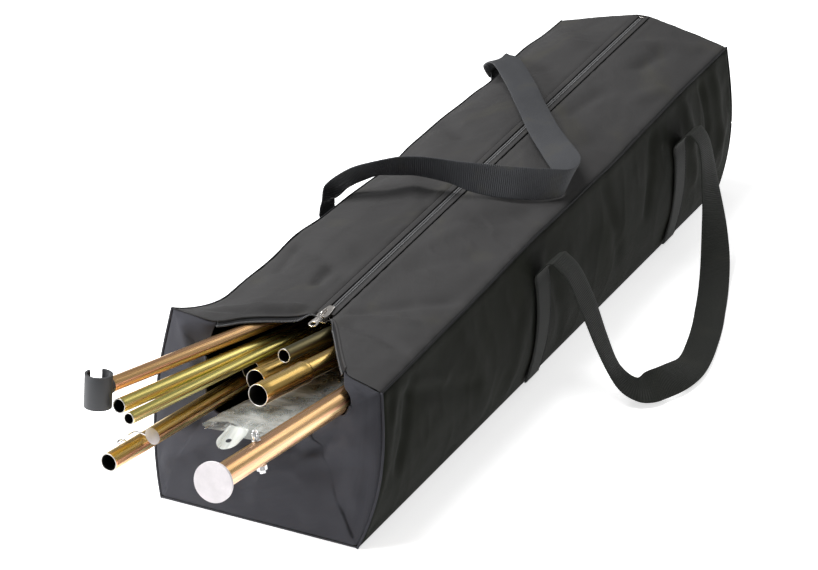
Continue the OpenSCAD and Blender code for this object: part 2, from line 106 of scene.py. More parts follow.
def grid_faces(rows, cols, wrap=False, flip=False, caps=False):
    """Quads over a grid of points, row by row; caps close its first and last rows."""
    faces = []
    last = cols if wrap else cols - 1
    for r in range(rows - 1):
        for c in range(last):
            a, b = r * cols + c, r * cols + (c + 1) % cols
            quad = (a, b, b + cols, a + cols)
            faces.append(quad[::-1] if flip else quad)
    if caps:
        faces += [tuple(range(cols))[::-1], tuple((rows - 1) * cols + k for k in range(cols))]
    return faces


def grid_normals(points, flip):
    """Unit normals of a grid of points."""
    along = np.gradient(points, axis=0)
    across = np.gradient(points, axis=1)
    normals = np.cross(across, along)
    if flip:
        normals = -normals
    return normals / np.maximum(np.linalg.norm(normals, axis=2, keepdims=True), 1e-9)


def thicken(piece, thickness, offset=-1.0):
    """Gives a sheet its thickness; offset -1 grows it inwards, 0 both ways."""
    solid = piece.modifiers.new("Solidify", "SOLIDIFY")
    solid.thickness = thickness * MM
    solid.offset = offset
    return piece


def catmull(points, per_span):
    """A smooth line through the points."""
    p = np.asarray(points, float)
    out = []
    for i in range(len(p) - 1):
        a, b, c, d = p[max(i - 1, 0)], p[i], p[i + 1], p[min(i + 2, len(p) - 1)]
        for k in range(per_span):
            t = k / per_span
            out.append(0.5 * (2 * b + (c - a) * t + (2 * a - 5 * b + 4 * c - d) * t * t
                              + (3 * b - a - 3 * c + d) * t ** 3))
    out.append(p[-1])
    return np.array(out)


def resample(line, count):
    """The same line with evenly spaced points; further columns are carried along."""
    steps = np.linalg.norm(np.diff(line[:, :3], axis=0), axis=1)
    s = np.concatenate([[0], np.cumsum(steps)])
    wanted = np.linspace(0, s[-1], count)
    return np.stack([np.interp(wanted, s, line[:, i]) for i in range(line.shape[1])], axis=1), s[-1]


def unit(v):
    """Vectors scaled to length 1."""
    return v / np.maximum(np.linalg.norm(v, axis=-1, keepdims=True), 1e-9)


def bead(name, line, radius, material, body="bag", flat=1.0, up=(0, 0, 1)):
    """A closed round bead along a line, flattened by the factor flat."""
    sides = 8
    line = np.asarray(line, float)
    along = unit(np.gradient(line, axis=0))
    side = unit(np.cross(along, np.array(up, float)))
    over = np.cross(side, along)
    rings = []
    for k in range(sides):
        a = 2 * math.pi * k / sides
        rings.append(line + radius * (math.cos(a) * side + flat * math.sin(a) * over))
    points = np.stack(rings, axis=1)
    faces = grid_faces(len(line), sides, wrap=True, caps=True)
    steps = np.concatenate([[0], np.cumsum(np.linalg.norm(np.diff(line, axis=0), axis=1))])
    uvs = [(k / sides * 6 * radius * MM, s * MM) for s in steps for k in range(sides)]
    return make_piece(name, points, faces, [material], uvs, body=body)


# ---- materials ----

class Graph:
    """A material with short helpers for its nodes."""

    def __init__(self, name, color, roughness, metallic=0.0):
        self.material = bpy.data.materials.new(name)
        self.material.use_nodes = True
        self.tree = self.material.node_tree
        self.shader = self.tree.nodes["Principled BSDF"]
        self.set("Base Color", (*color, 1.0))
        self.set("Roughness", roughness)
        self.set("Metallic", metallic)
        self.material.diffuse_color = (*color, 1.0)

    def set(self, socket, value):
        self.shader.inputs[socket].default_value = value

    def link(self, a, b):
        self.tree.links.new(a, b)

    def feed(self, value, socket):
        """Sets a number or colour on a node's socket, or links it."""
        if isinstance(value, (int, float)):
            socket.default_value = value
        elif isinstance(value, tuple):
            socket.default_value = (*value, 1.0)
        else:
            self.link(value, socket)

    def place(self, kind, scale):
        """Coordinates of a kind ("UV" or "Object"), scaled."""
        source = self.tree.nodes.new("ShaderNodeTexCoord").outputs[kind]
        mapping = self.tree.nodes.new("ShaderNodeMapping")
        mapping.inputs["Scale"].default_value = scale
        self.link(source, mapping.inputs["Vector"])
        return mapping.outputs["Vector"]

    def noise(self, vector, scale=1.0, detail=3.0, rough=0.55, warp=0.0):
        node = self.tree.nodes.new("ShaderNodeTexNoise")
        node.inputs["Scale"].default_value = scale
        node.inputs["Detail"].default_value = detail
        node.inputs["Roughness"].default_value = rough
        node.inputs["Distortion"].default_value = warp
        self.link(vector, node.inputs["Vector"])
        return node.outputs["Fac"]

    def waves(self, vector, period, direction, warp):
        """Even bands with that period in the vector's own unit."""
        node = self.tree.nodes.new("ShaderNodeTexWave")
        node.wave_type = "BANDS"
        node.bands_direction = direction
        node.inputs["Scale"].default_value = 2 * math.pi / 20 / period
        node.inputs["Distortion"].default_value = warp
        self.link(vector, node.inputs["Vector"])
        return node.outputs["Fac"]

    def ramp(self, value, stops):
        node = self.tree.nodes.new("ShaderNodeValToRGB")
        while len(node.color_ramp.elements) < len(stops):
            node.color_ramp.elements.new(0.5)
        for element, (position, color) in zip(node.color_ramp.elements, stops):
            element.position = position
            element.color = (*color, 1.0)
        self.link(value, node.inputs["Fac"])
        return node.outputs["Color"]

    def math(self, kind, a, b):
        node = self.tree.nodes.new("ShaderNodeMath")
        node.operation = kind
        for value, socket in ((a, node.inputs[0]), (b, node.inputs[1])):
            self.feed(value, socket)
        return node.outputs[0]

    def mix(self, kind, factor, a, b):
        node = self.tree.nodes.new("ShaderNodeMix")
        node.data_type = "RGBA"
        node.blend_type = kind
        sockets = [s for s in node.inputs if s.enabled]
        for value, socket in zip((factor, a, b), sockets):
            self.feed(value, socket)
        return [s for s in node.outputs if s.enabled][0]

    def color(self, value):
        self.link(value, self.shader.inputs["Base Color"])

    def spread(self, value, low, high, socket="Roughness", start=0.0, end=1.0):
        """A value's range from start to end, spread from low to high on a shader socket."""
        node = self.tree.nodes.new("ShaderNodeMapRange")
        for name, bound in (("From Min", start), ("From Max", end), ("To Min", low), ("To Max", high)):
            node.inputs[name].default_value = bound
        self.link(value, node.inputs["Value"])
        self.link(node.outputs["Result"], self.shader.inputs[socket])

    def bump(self, height, distance, strength):
        node = self.tree.nodes.new("ShaderNodeBump")
        node.inputs["Distance"].default_value = distance
        node.inputs["Strength"].default_value = strength
        self.link(height, node.inputs["Height"])
        self.link(node.outputs["Normal"], self.shader.inputs["Normal"])


def shade(color, factor):
    """A lighter or darker version of a colour."""
    return tuple(min(1.0, c * factor) for c in color)


def fabric_material(name, color, warm):
    """Coated woven polyester: fine threads, soft mottling and pale specks."""
    g = Graph(name, color, 0.8)
    uv = g.place("UV", (1, 1, 1))
    warp = g.waves(uv, THREAD_PITCH * MM, "X", 0.2)
    weft = g.waves(uv, THREAD_PITCH * MM, "Y", 0.2)
    weave = g.math("MULTIPLY", warp, weft)
    blotches = g.noise(uv, 9.0, 4.0, 0.6)
    base = g.ramp(blotches, [(0.3, shade(color, 0.86)), (0.55, color), (0.75, warm)])
    lint = g.noise(uv, 900.0, 2.0, 0.7)
    speckled = g.mix("MIX", lint, base, shade(color, 1.35))
    faded = g.mix("MIX", 0.35, base, speckled)
    g.color(g.mix("MULTIPLY", 0.25, faded, g.ramp(weave, [(0.0, (0.7, 0.7, 0.7)), (0.8, (1, 1, 1))])))
    g.spread(blotches, 0.66, 0.86)
    g.set("Sheen Weight", 0.015)
    g.set("Sheen Roughness", 0.45)
    g.set("Specular IOR Level", 0.1)
    soft = g.noise(uv, 60.0, 4.0, 0.6)
    g.bump(g.math("ADD", g.math("MULTIPLY", weave, 0.25), soft), 0.0006, 0.7)
    return g.material


def webbing_material(name, color, warm):
    """Ribbed nylon webbing with a woven cross grain and paler bands along its ribs."""
    g = Graph(name, color, 0.62)
    uv = g.place("UV", (1, 1, 1))
    ribs = g.waves(uv, RIB_PITCH * MM, "Y", 0.05)
    cross = g.waves(uv, CROSS_PITCH * MM, "X", 0.1)
    patches = g.noise(uv, 16.0, 3.0, 0.6)
    base = g.ramp(patches, [(0.35, shade(color, 0.8)), (0.55, color), (0.75, warm)])
    g.color(g.mix("MIX", g.math("MULTIPLY", ribs, 0.45), base, shade(color, 1.6)))
    g.spread(patches, 0.5, 0.7)
    g.set("Sheen Weight", 0.015)
    g.set("Specular IOR Level", 0.15)
    g.bump(g.math("ADD", ribs, g.math("MULTIPLY", cross, 0.5)), 0.0004, 0.6)
    return g.material


def chromate_material(name, tint, share=0.15, rough=(0.2, 0.36)):
    """Yellow chromated tube: lengthwise streaks from gold over rose to green."""
    g = Graph(name, tint, 0.3, 1.0)
    uv = g.place("UV", (70, 1.6, 1))
    streaks = g.noise(uv, 1.0, 3.0, 0.55, 0.4)
    hues = g.ramp(streaks, [
        (0.28, shade(tint, 0.5)), (0.40, (0.72, 0.46, 0.12)), (0.47, (0.96, 0.70, 0.26)),
        (0.52, (0.98, 0.42, 0.26)), (0.57, (1.0, 0.82, 0.40)), (0.64, (0.56, 0.68, 0.16)),
        (0.76, (0.98, 0.92, 0.62))])
    wide = g.noise(g.place("UV", (12, 5, 1)), 1.0, 2.0, 0.5)
    toned = g.mix("MIX", share, hues, tint)
    clouds = g.ramp(wide, [(0.35, (0.72, 0.7, 0.62)), (0.6, (1, 1, 1))])
    g.color(g.mix("MULTIPLY", 0.6, toned, clouds))
    fine = g.noise(g.place("UV", (900, 14, 1)), 1.0, 2.0, 0.6)
    g.spread(fine, rough[0], rough[1])
    g.bump(fine, 0.00012, 0.35)
    g.set("Anisotropic", 0.3)
    return g.material


def plain_metal(name, color, low, high):
    """Plated metal with a fine grain and patches of tarnish; low and high bound its roughness."""
    g = Graph(name, color, low, 1.0)
    vector = g.place("Object", (1, 1, 1))
    grain = g.noise(vector, METAL_GRAIN, 3.0, 0.6)
    tarnish = g.noise(vector, METAL_GRAIN / 12, 3.0, 0.6)
    g.color(g.ramp(tarnish, [(0.3, shade(color, 0.72)), (0.6, color), (0.8, shade(color, 1.12))]))
    g.spread(grain, low, high)
    g.bump(grain, 0.00008, 0.3)
    return g.material


def plastic_material(name, color, low, high):
    """Moulded plastic with fine pits and scuffs; low and high bound its roughness."""
    g = Graph(name, color, low)
    vector = g.place("Object", (1, 1, 1))
    pits = g.noise(vector, PLASTIC_GRAIN, 3.0, 0.6)
    scuffs = g.noise(vector, 60.0, 4.0, 0.7)
    g.color(g.ramp(scuffs, [(0.35, shade(color, 0.9)), (0.6, color), (0.8, shade(color, 1.18))]))
    g.spread(scuffs, low, high)
    g.bump(pits, 0.0001, 0.4)
    return g.material


def film_material():
    """Crumpled clear film: mostly see-through, milky in patches."""
    g = Graph("clear_film", (0.8, 0.84, 0.83), 0.16)
    vector = g.place("UV", (1, 1, 1))
    milky = g.noise(vector, 26.0, 4.0, 0.6, 0.6)
    g.color(g.ramp(milky, [(0.35, (0.55, 0.6, 0.58)), (0.6, (0.86, 0.89, 0.88))]))
    folds = g.noise(vector, 45.0, 5.0, 0.65, 1.2)
    g.bump(folds, 0.003, 0.8)
    g.spread(milky, 0.3, 0.72, "Alpha", 0.35, 0.7)
    g.set("Specular IOR Level", 0.8)
    g.set("Coat Weight", 0.6)
    g.set("Coat Roughness", 0.08)
    return g.material


# Threads of the cloth, then cross threads and ribs of the webbing, in millimetres
THREAD_PITCH, CROSS_PITCH, RIB_PITCH = 0.9, 1.6, 2.4
# Grains to a metre
METAL_GRAIN, PLASTIC_GRAIN = 400.0, 900.0
# One coated cloth in three copies: the side walls, rear and base much darker as painted shade, the top and
# front lighter as painted light.
SIDE_CLOTH_PAINTED_SHADE = fabric_material("side_cloth_painted_shade", (0.005, 0.0058, 0.003), (0.009, 0.010, 0.0055))
FRONT_CLOTH_PAINTED_LIGHT = fabric_material("front_cloth_painted_light", (0.044, 0.044, 0.051), (0.056, 0.056, 0.062))
TOP_CLOTH_PAINTED_LIGHT = fabric_material("top_cloth_painted_light", (0.041, 0.040, 0.040), (0.054, 0.052, 0.043))
LINING = fabric_material("lining_cloth", (0.006, 0.006, 0.006), (0.009, 0.009, 0.009))
SEAM_THREAD = webbing_material("seam_thread", (0.008, 0.008, 0.009), (0.012, 0.012, 0.012))
WEBBING = webbing_material("webbing_cloth", (0.036, 0.037, 0.040), (0.050, 0.048, 0.040))
# A darker copy of the same webbing for the right handle: painted shade.
WEBBING_PAINTED_SHADE = webbing_material("webbing_painted_shade_cloth", (0.014, 0.015, 0.013), (0.022, 0.022, 0.018))
TAPE = webbing_material("tape_cloth", (0.012, 0.012, 0.013), (0.02, 0.02, 0.02))
COIL = plastic_material("coil_nylon", (0.06, 0.06, 0.062), 0.35, 0.5)
NICKEL = plain_metal("nickel_plate", (0.80, 0.76, 0.72), 0.16, 0.3)
ZINC = plain_metal("bright_zinc", (0.78, 0.78, 0.78), 0.2, 0.34)
# The bores are painted near black: painted shade in the tubes' hollows.
BORE_PAINTED_SHADE = plain_metal("tube_inside_painted_shade", (0.055, 0.055, 0.05), 0.4, 0.6)
RIM = plain_metal("tube_rim", (0.52, 0.50, 0.47), 0.3, 0.45)
CLIP = plastic_material("clip_charcoal", (0.026, 0.027, 0.030), 0.42, 0.6)
PALE = plastic_material("pale_plastic", (0.66, 0.62, 0.63), 0.5, 0.62)
FILM = film_material()


# ---- camera, lights and floor ----

CAMERA_AT, CAMERA_AIM = (1.2205, -2.6299, 1.412), (-0.016, -0.150, 0.114)
LENS = 112.75
# Each light: name, place, aim, width and height, watts, colour
LIGHTS = [
    ("soft_top", (-0.9, -0.4, 2.4), (0, -0.1, 0.1), (1.1, 1.3), 74.0, (1, 1, 1)),
    ("front_fill", (-2.0, -2.0, 1.5), (0, -0.5, 0.1), (0.9, 0.9), 66.0, (0.95, 0.97, 1.0)),
    ("rear_rim", (0.6, 2.4, 1.6), (0, 0.3, 0.2), (1.6, 0.8), 8.0, (1, 1, 1))]
WORLD_STRENGTH, FLOOR_GLOW = 0.34, 0.64
FLOOR_REACH, FLOOR_DROP = 14.0, 0.0004


def aim_at(item, place, target):
    item.location = place
    way = Vector(target) - Vector(item.location)
    item.rotation_euler = way.to_track_quat("-Z", "Y").to_euler()


def add_camera():
    data = bpy.data.cameras.new("camera")
    data.sensor_width = 36.0
    data.lens = LENS
    data.clip_end = 50.0
    camera = new_object("camera", data)
    aim_at(camera, CAMERA_AT, CAMERA_AIM)
    bpy.context.scene.camera = camera


def add_light(name, location, target, size, power, color):
    data = bpy.data.lights.new(name, "AREA")
    data.shape = "RECTANGLE"
    data.size, data.size_y = size
    data.energy = power
    data.color = color
    aim_at(new_object(name, data), location, target)


def add_studio():
    world = bpy.data.worlds.new("studio")
    bpy.context.scene.world = world
    world.use_nodes = True
    background = world.node_tree.nodes["Background"]
    background.inputs["Color"].default_value = (1.0, 1.0, 1.0, 1.0)
    background.inputs["Strength"].default_value = WORLD_STRENGTH
    for light in LIGHTS:
        add_light(*light)
    mesh = bpy.data.meshes.new("floor")
    corners = [(x * FLOOR_REACH, y * FLOOR_REACH, 0) for x, y in ((-1, -1), (1, -1), (1, 1), (-1, 1))]
    mesh.from_pydata(corners, [], [(0, 1, 2, 3)])
    floor = new_object("floor", mesh)
    floor.location.z = -FLOOR_DROP
    g = Graph("floor_white", (0.93, 0.93, 0.93), 0.9)
    g.set("Specular IOR Level", 0.1)
    g.set("Emission Color", (1.0, 1.0, 1.0, 1.0))
    g.set("Emission Strength", FLOOR_GLOW)
    mesh.materials.append(g.material)
    scene = bpy.context.scene
    scene.view_settings.view_transform = "Standard"
    scene.view_settings.exposure = 0.0


# ---- the bag's shape ----

BASE_HALF = 122
SEAM_HALF = (131, 124)
SEAM_Z = (168, 212)
ZIP_Z, ZIP_SLOPE = 181, math.tan(math.radians(3.5))
SLIDER_Y = 150
LEAN, LEAN_REACH = 0.25, 300
CLOTH = 1.1
ZIP_EDGE = 9.9
LEFT, RIGHT = -1, 1
SIDES = (("left", LEFT), ("right", RIGHT))


def mix(a, b, t):
    return a + (b - a) * t


def rough_line(y, seed, size):
    """Smooth wandering between -1 and 1 along the bag."""
    flat = [noise.noise(Vector((v / size, seed * 7.3, seed * 1.7))) for v in np.ravel(y)]
    return np.array(flat).reshape(np.shape(y))


def ear(y):
    """How far the left front corner stands up above its seam."""
    return 40 * np.maximum(0, 1 - np.maximum(0, y - 50) / 120) ** 1.6


def hump(y, middle, width):
    return np.exp(-((y - middle) / width) ** 2)


def seam_wander(side, y):
    """How the filled bag's top seam rises and sinks along its length, in x and z."""
    inside = np.clip((y - 60) / 120, 0, 1) * np.clip((BAG_LENGTH - y) / 80, 0, 1)
    small = rough_line(y, 3 + side, 70)
    if side == LEFT:
        rise = 4.5 * hump(y, 330, 60) - 6 * hump(y, 560, 50) + 2 * hump(y, 990, 60) - 4 * hump(y, 860, 40)
    else:
        rise = 2.5 * hump(y, 420, 90) - 2.5 * hump(y, 700, 80) + 2 * hump(y, 930, 60)
    return inside * (1.8 * small), inside * (rise + 1.6 * small)


def edge_z(side, y):
    plain = mix(SEAM_Z[0], SEAM_Z[1], np.maximum(0, y / BAG_LENGTH)) + seam_wander(side, y)[1]
    return plain + ear(y) if side == LEFT else plain


def edge_x(side, y):
    return mix(SEAM_HALF[0], SEAM_HALF[1], y / BAG_LENGTH) + seam_wander(side, y)[0]


def zip_z(y):
    return ZIP_Z + (y - SLIDER_Y) * ZIP_SLOPE


def leaned(y, z):
    """Where a wall point of the height z stands along the bag: the front end leans back."""
    return y + LEAN * z * np.maximum(0, 1 - y / LEAN_REACH)


def lean_edge(side, y):
    """Height of the wall's top edge above the floor point y."""
    guess = edge_z(side, y + 50 * np.maximum(0, 1 - y / LEAN_REACH))
    return edge_z(side, leaned(y, guess)) - 0.6


def wall_point(side, y, t):
    """The side wall at y on the floor and at the share t of its height."""
    z = t * lean_edge(side, y)
    y_top = leaned(y, z)
    x = mix(BASE_HALF, edge_x(side, y_top), t) + 14 * np.sin(math.pi * t ** 0.9)
    return np.stack([side * x, y_top, z], axis=-1)


# The top panels' front edges from the slider to the corners: x from the middle, then y
LIPS = {LEFT: [(0, 158), (20, 150), (64, 98), (84, 56), (SEAM_HALF[0], 52)],
        RIGHT: [(0, 158), (20, 146), (56, 92), (80, 58), (92, 47), (SEAM_HALF[0], 42.5)]}
# Where a lip ends on the front end: x, and the t of top_point
LIP_END = 80
LIP_T = (SEAM_HALF[0] - LIP_END) / (SEAM_HALF[0] - ZIP_EDGE)


def top_start(side, x):
    lip = catmull(LIPS[side], 8)
    return np.interp(x, lip[:, 0], lip[:, 1])


def top_point(side, v, t):
    """The top panel from its front edge (v 0) to the rear, and from the seam (t 0) to the zip."""
    x0 = mix(SEAM_HALF[0], ZIP_EDGE, t)
    y = mix(top_start(side, x0), BAG_LENGTH, v)
    x = mix(edge_x(side, y), ZIP_EDGE, t)
    swell = 7 * np.clip((BAG_LENGTH + 20 - y) / 160, 0.1, 1)
    z = mix(edge_z(side, y), zip_z(y), t) + swell * np.sin(math.pi * t)
    return np.stack([side * x, y, z], axis=-1)


# Creases: start, end, half width and depth (out of the cloth, or into it where negative)
TOP_CREASES = [
    ((18, 165, 185), (120, 255, 185), 9, -3.2), ((14, 160, 185), (100, 185, 182), 6, 2.6),
    ((30, 150, 183), (112, 128, 178), 8, -3.4), ((40, 300, 200), (95, 360, 200), 16, -3.0),
    ((60, 430, 205), (105, 500, 200), 18, -3.5), ((-20, 250, 195), (-110, 300, 195), 12, -3.0),
    ((-40, 215, 190), (-46, 262, 196), 7, -5.0), ((-100, 230, 190), (-112, 300, 190), 6, -4.5),
    ((-30, 160, 183), (-118, 96, 200), 7, 4.0), ((-20, 152, 181), (-104, 84, 190), 5, -3.0),
    ((50, 640, 215), (100, 720, 212), 20, -3.5), ((-60, 640, 215), (-115, 690, 210), 14, -4.5),
    ((35, 760, 222), (48, 850, 226), 12, -4.0), ((60, 930, 228), (66, 1020, 226), 13, -5.0),
    ((88, 850, 222), (112, 905, 215), 12, 3.5), ((-50, 880, 228), (-112, 850, 218), 13, -6.0),
    ((-40, 960, 235), (-105, 1040, 226), 20, 5.0), ((20, 1000, 238), (100, 1060, 226), 14, 3.0),
    ((15, 330, 195), (60, 420, 205), 12, 2.0), ((-15, 420, 200), (-70, 520, 205), 16, 2.6)]
SIDE_CREASES = [
    ((134, 70, 160), (138, 10, 60), 11, 5.0), ((137, 110, 160), (142, 60, 70), 10, -4.0),
    ((136, 60, 172), (140, 190, 120), 9, 3.6), ((135, 90, 150), (142, 260, 80), 12, -3.4),
    ((140, 470, 150), (134, 520, 30), 14, -3.0), ((140, 400, 120), (134, 360, 20), 16, 2.6),
    ((132, 640, 195), (140, 690, 60), 15, -3.4), ((130, 820, 200), (138, 780, 90), 13, -4.0),
    ((128, 920, 210), (138, 960, 70), 12, 4.4), ((126, 990, 214), (137, 1010, 110), 9, -4.5),
    ((126, 1040, 214), (136, 1060, 60), 12, 3.5), ((140, 240, 150), (136, 300, 40), 18, 2.4),
    ((-136, 330, 160), (-140, 380, 40), 16, -3.4), ((-138, 560, 190), (-138, 600, 40), 13, -5.0),
    ((-138, 760, 190), (-136, 800, 40), 16, 3.5), ((-134, 90, 190), (-140, 200, 60), 14, -4.0),
    ((-134, 860, 200), (-138, 900, 90), 11, -5.0), ((136, 1010, 40), (136, 1080, 120), 14, 3.0)]
FRONT_CREASES = [
    ((126, 40, 160), (40, 22, 88), 9, 5.0), ((126, 36, 146), (30, 18, 72), 7, -4.5),
    ((124, 30, 120), (0, 14, 56), 10, 3.0), ((122, 22, 90), (-20, 8, 34), 12, -3.0),
    ((-122, 10, 40), (-40, 22, 90), 11, 3.6), ((-124, 18, 72), (-60, 25, 100), 7, -3.6),
    ((-112, 50, 200), (-92, 36, 146), 8, 3.0), ((-60, 24, 96), (60, 27, 108), 7, 3.0),
    ((-40, 20, 82), (90, 24, 98), 6, -2.6), ((60, 6, 24), (118, 16, 60), 12, 2.4)]


def crease_depth(points, creases):
    total = np.zeros(points.shape[:-1])
    for start, end, width, depth in creases:
        a, b = np.array(start, float), np.array(end, float)
        way = b - a
        t = ((points - a) @ way) / (way @ way)
        near = a + np.clip(t, 0, 1)[..., None] * way
        # a crease wanders a little and fades towards its ends
        bend = 0.5 * width * np.sin(t * 5 + a[1])
        gap = np.linalg.norm(points - near, axis=-1) + 0.25 * bend
        fade = np.clip((t + 0.25) / 0.35, 0, 1) * np.clip((1.25 - t) / 0.35, 0, 1)
        total += depth * np.exp(-(gap / width) ** 2) * fade
    return total


def cloth_noise(points, seed):
    flat = points.reshape(-1, 3)
    out = np.empty(len(flat))
    shift = Vector((seed * 3.1, seed * 5.7, seed * 2.3))
    for i, (x, y, z) in enumerate(flat):
        large = noise.noise(Vector((x / 70, y / 150, z / 70)) + shift)
        small = noise.noise(Vector((x / 26, y / 48, z / 26)) + shift)
        folds = 1 - abs(noise.noise(Vector((x / 55, y / 38, z / 80)) + shift * 2)) * 2
        out[i] = 3.0 * large + 0.9 * small + 1.5 * max(0.0, folds - 0.55)
    return out.reshape(points.shape[:-1])


def seam_dip(gap):
    """The cloth turns in at a sewn edge; gap is the distance from it."""
    return -2.0 * np.exp(-(gap / 3.0) ** 2) + 0.9 * np.exp(-((gap - 8) / 4.0) ** 2)


def cloth_panel(name, shape, rows, cols, flip, creases, seed, material, seams, loose=1.0):
    """A panel over shape(v, t); seams says which of its four sides (v0, v1, t0, t1) are sewn."""
    v = np.linspace(0, 1, rows)[:, None] * np.ones((1, cols))
    t = np.ones((rows, 1)) * np.linspace(0, 1, cols)[None, :]
    points = shape(v, t)
    normals = grid_normals(points, flip)
    along = np.linalg.norm(np.diff(points, axis=0), axis=2)
    across = np.linalg.norm(np.diff(points, axis=1), axis=2)
    s_along = np.concatenate([np.zeros((1, cols)), np.cumsum(along, axis=0)])
    s_across = np.concatenate([np.zeros((rows, 1)), np.cumsum(across, axis=1)], axis=1)
    gaps = [s_along, s_along[-1:] - s_along, s_across, s_across[:, -1:] - s_across]
    relief = loose * (cloth_noise(points, seed) + crease_depth(points, creases))
    pucker = 0.65 + 0.5 * rough_line(s_along, seed, 14)
    for gap, sewn in zip(gaps, seams):
        if sewn:
            relief = relief * (1 - np.exp(-(gap / 16) ** 2))
    for gap, sewn in zip(gaps, seams):
        if sewn:
            relief = relief + seam_dip(gap) * pucker
    points = points + normals * relief[..., None]
    points[..., 2] = np.maximum(points[..., 2], 0.9)
    uvs = [(a * MM, b * MM) for a, b in zip(s_across.ravel(), s_along.ravel())]
    piece = make_piece(name, points, grid_faces(rows, cols, flip=flip), [material, LINING], uvs)
    thicken(piece, CLOTH)
    piece.modifiers["Solidify"].material_offset = 1
    piece.modifiers["Solidify"].material_offset_rim = 0
    return piece, points


def add_sides():
    rows, cols = 240, 44
    for name, side in SIDES:
        def shape(v, t, side=side):
            return wall_point(side, v * BAG_LENGTH, t)
        piece, _ = cloth_panel(name + "_side_cloth_painted_shade", shape, rows, cols, side == RIGHT,
                               SIDE_CREASES, 4 + side, SIDE_CLOTH_PAINTED_SHADE, (1, 1, 1, 1))
        dress(piece, "side_fabric", name + "_side_panel")


def add_tops():
    rows, cols = 230, 34
    made = []
    for name, side in SIDES:
        def shape(v, t, side=side):
            return top_point(side, v ** 1.15, t)
        piece, points = cloth_panel(name + "_top_cloth_painted_light", shape, rows, cols, side == RIGHT,
                                    TOP_CREASES, 9 + side, TOP_CLOTH_PAINTED_LIGHT, (0, 1, 1, 1), 1.25)
        dress(piece, "top_fabric", name + "_top_panel")
        made.append(points)
    return made


# The mouth's edge on the front end, in x and height, in stretches that face the left corner,
# left wall, base, right wall and right corner
MOUTH = [[(-80, None), (-80, 182), (-82, 166)], [(-82, 166), (-81, 140), (-74, 112)],
         [(-74, 112), (-50, 104), (-6, 103), (34, 106), (58, 119)],
         [(58, 119), (72, 130), (88, 144), (102.5, 151), (107, 161)],
         [(107, 161), (105, 171), (95, 178), (80, None)]]
FRONT_SHARES = (14, 38, 56, 38, 14)


def front_rims():
    """The front end's outer edge, in the same stretches as the mouth."""
    t = np.linspace(1, 0, 34)
    corners = [top_point(side, np.zeros(20), np.linspace(LIP_T, 0, 20)) for side in (LEFT, RIGHT)]
    x = np.linspace(-BASE_HALF, BASE_HALF, 60)
    base = np.stack([x, 0 * x, 0 * x], axis=1)
    walls = [wall_point(side, np.zeros(34), t) for side in (LEFT, RIGHT)]
    return [corners[0], walls[0], base, walls[1][::-1], corners[1][::-1]]


def spanned(rim, inner, bulge, way):
    """A panel's shape from a rim to an inner line, swelling by bulge(v, t) along a direction."""
    def shape(v, t):
        i = np.rint(v * (len(rim) - 1)).astype(int)
        flat = rim[i] * (1 - t[..., None]) + inner[i] * t[..., None]
        return flat + bulge(v, t)[..., None] * np.array(way)
    return shape


def add_front():
    rims, lips = [], []
    for rim, stretch, share in zip(front_rims(), MOUTH, FRONT_SHARES):
        ends = []
        for x, z in stretch:
            if z:
                # the cloth swells forward around the pole at the right
                ends.append((x, z * LEAN - 24 * hump(x, 106, 24), z))
            else:
                side = math.copysign(1, x)
                ends.append(tuple(top_point(side, 0.0, LIP_T)))
        rims.append(resample(rim, share)[0])
        lips.append(resample(catmull(ends, 10), share)[0])
    rim, lip = np.concatenate(rims), np.concatenate(lips)
    count = len(rim)

    def bulge(v, t):
        return 9 * np.sin(math.pi * np.clip(t, 0, 1)) * np.sin(math.pi * v) ** 0.8
    shape = spanned(rim, lip, bulge, [0, -0.97, 0.24])
    piece, points = cloth_panel("front_cloth_painted_light", shape, count, 40, True, FRONT_CREASES, 21,
                                FRONT_CLOTH_PAINTED_LIGHT, (0, 0, 1, 0), 2.2)
    dress(piece, "front_fabric", "front_end_panel")
    hem = points[14:-14, -1] + np.array([0, -0.4, 0])
    dress(bead("front_hem", resample(hem, 220)[0], 1.7, FRONT_CLOTH_PAINTED_LIGHT), "front_fabric")


def add_lips(tops):
    """The open stretch of the zip: a hem, a strip of tape and a row of coil along each lip."""
    for (name, side), points in zip(SIDES, tops):
        edge = points[0][::-1]
        reach = np.abs(edge[:, 0])
        edge = resample(edge[(reach < LIP_END + 2) & (reach > ZIP_EDGE - 3)], 90)[0]
        dress(bead(name + "_lip_hem", edge + np.array([0, 0.3, -0.6]), 1.5, TOP_CLOTH_PAINTED_LIGHT), "top_fabric")
        out = np.array([-side * 3.2, -6.5, -3.6]) if side == LEFT else np.array([-2.5, -3.4, -7.0])
        grow = np.clip(np.linspace(0, 6, 90), 0.15, 1)[:, None]
        tape = ribbon(name + "_open_tape", edge + np.array([0, 0, -1.4]), edge + grow * out, TAPE)
        dress(tape, "zip_tape")
        middle = resample(edge + grow * out * 1.04 + np.array([0, 0, 0.9]), 76)[0]
        ways = unit(np.gradient(middle, axis=0))
        halves = 1.3 * unit(np.cross(ways, np.cross(out, ways)))
        dress(tooth_row(name + "_open_coil", middle, ways, halves, COIL, 0.62), "zip_coil")


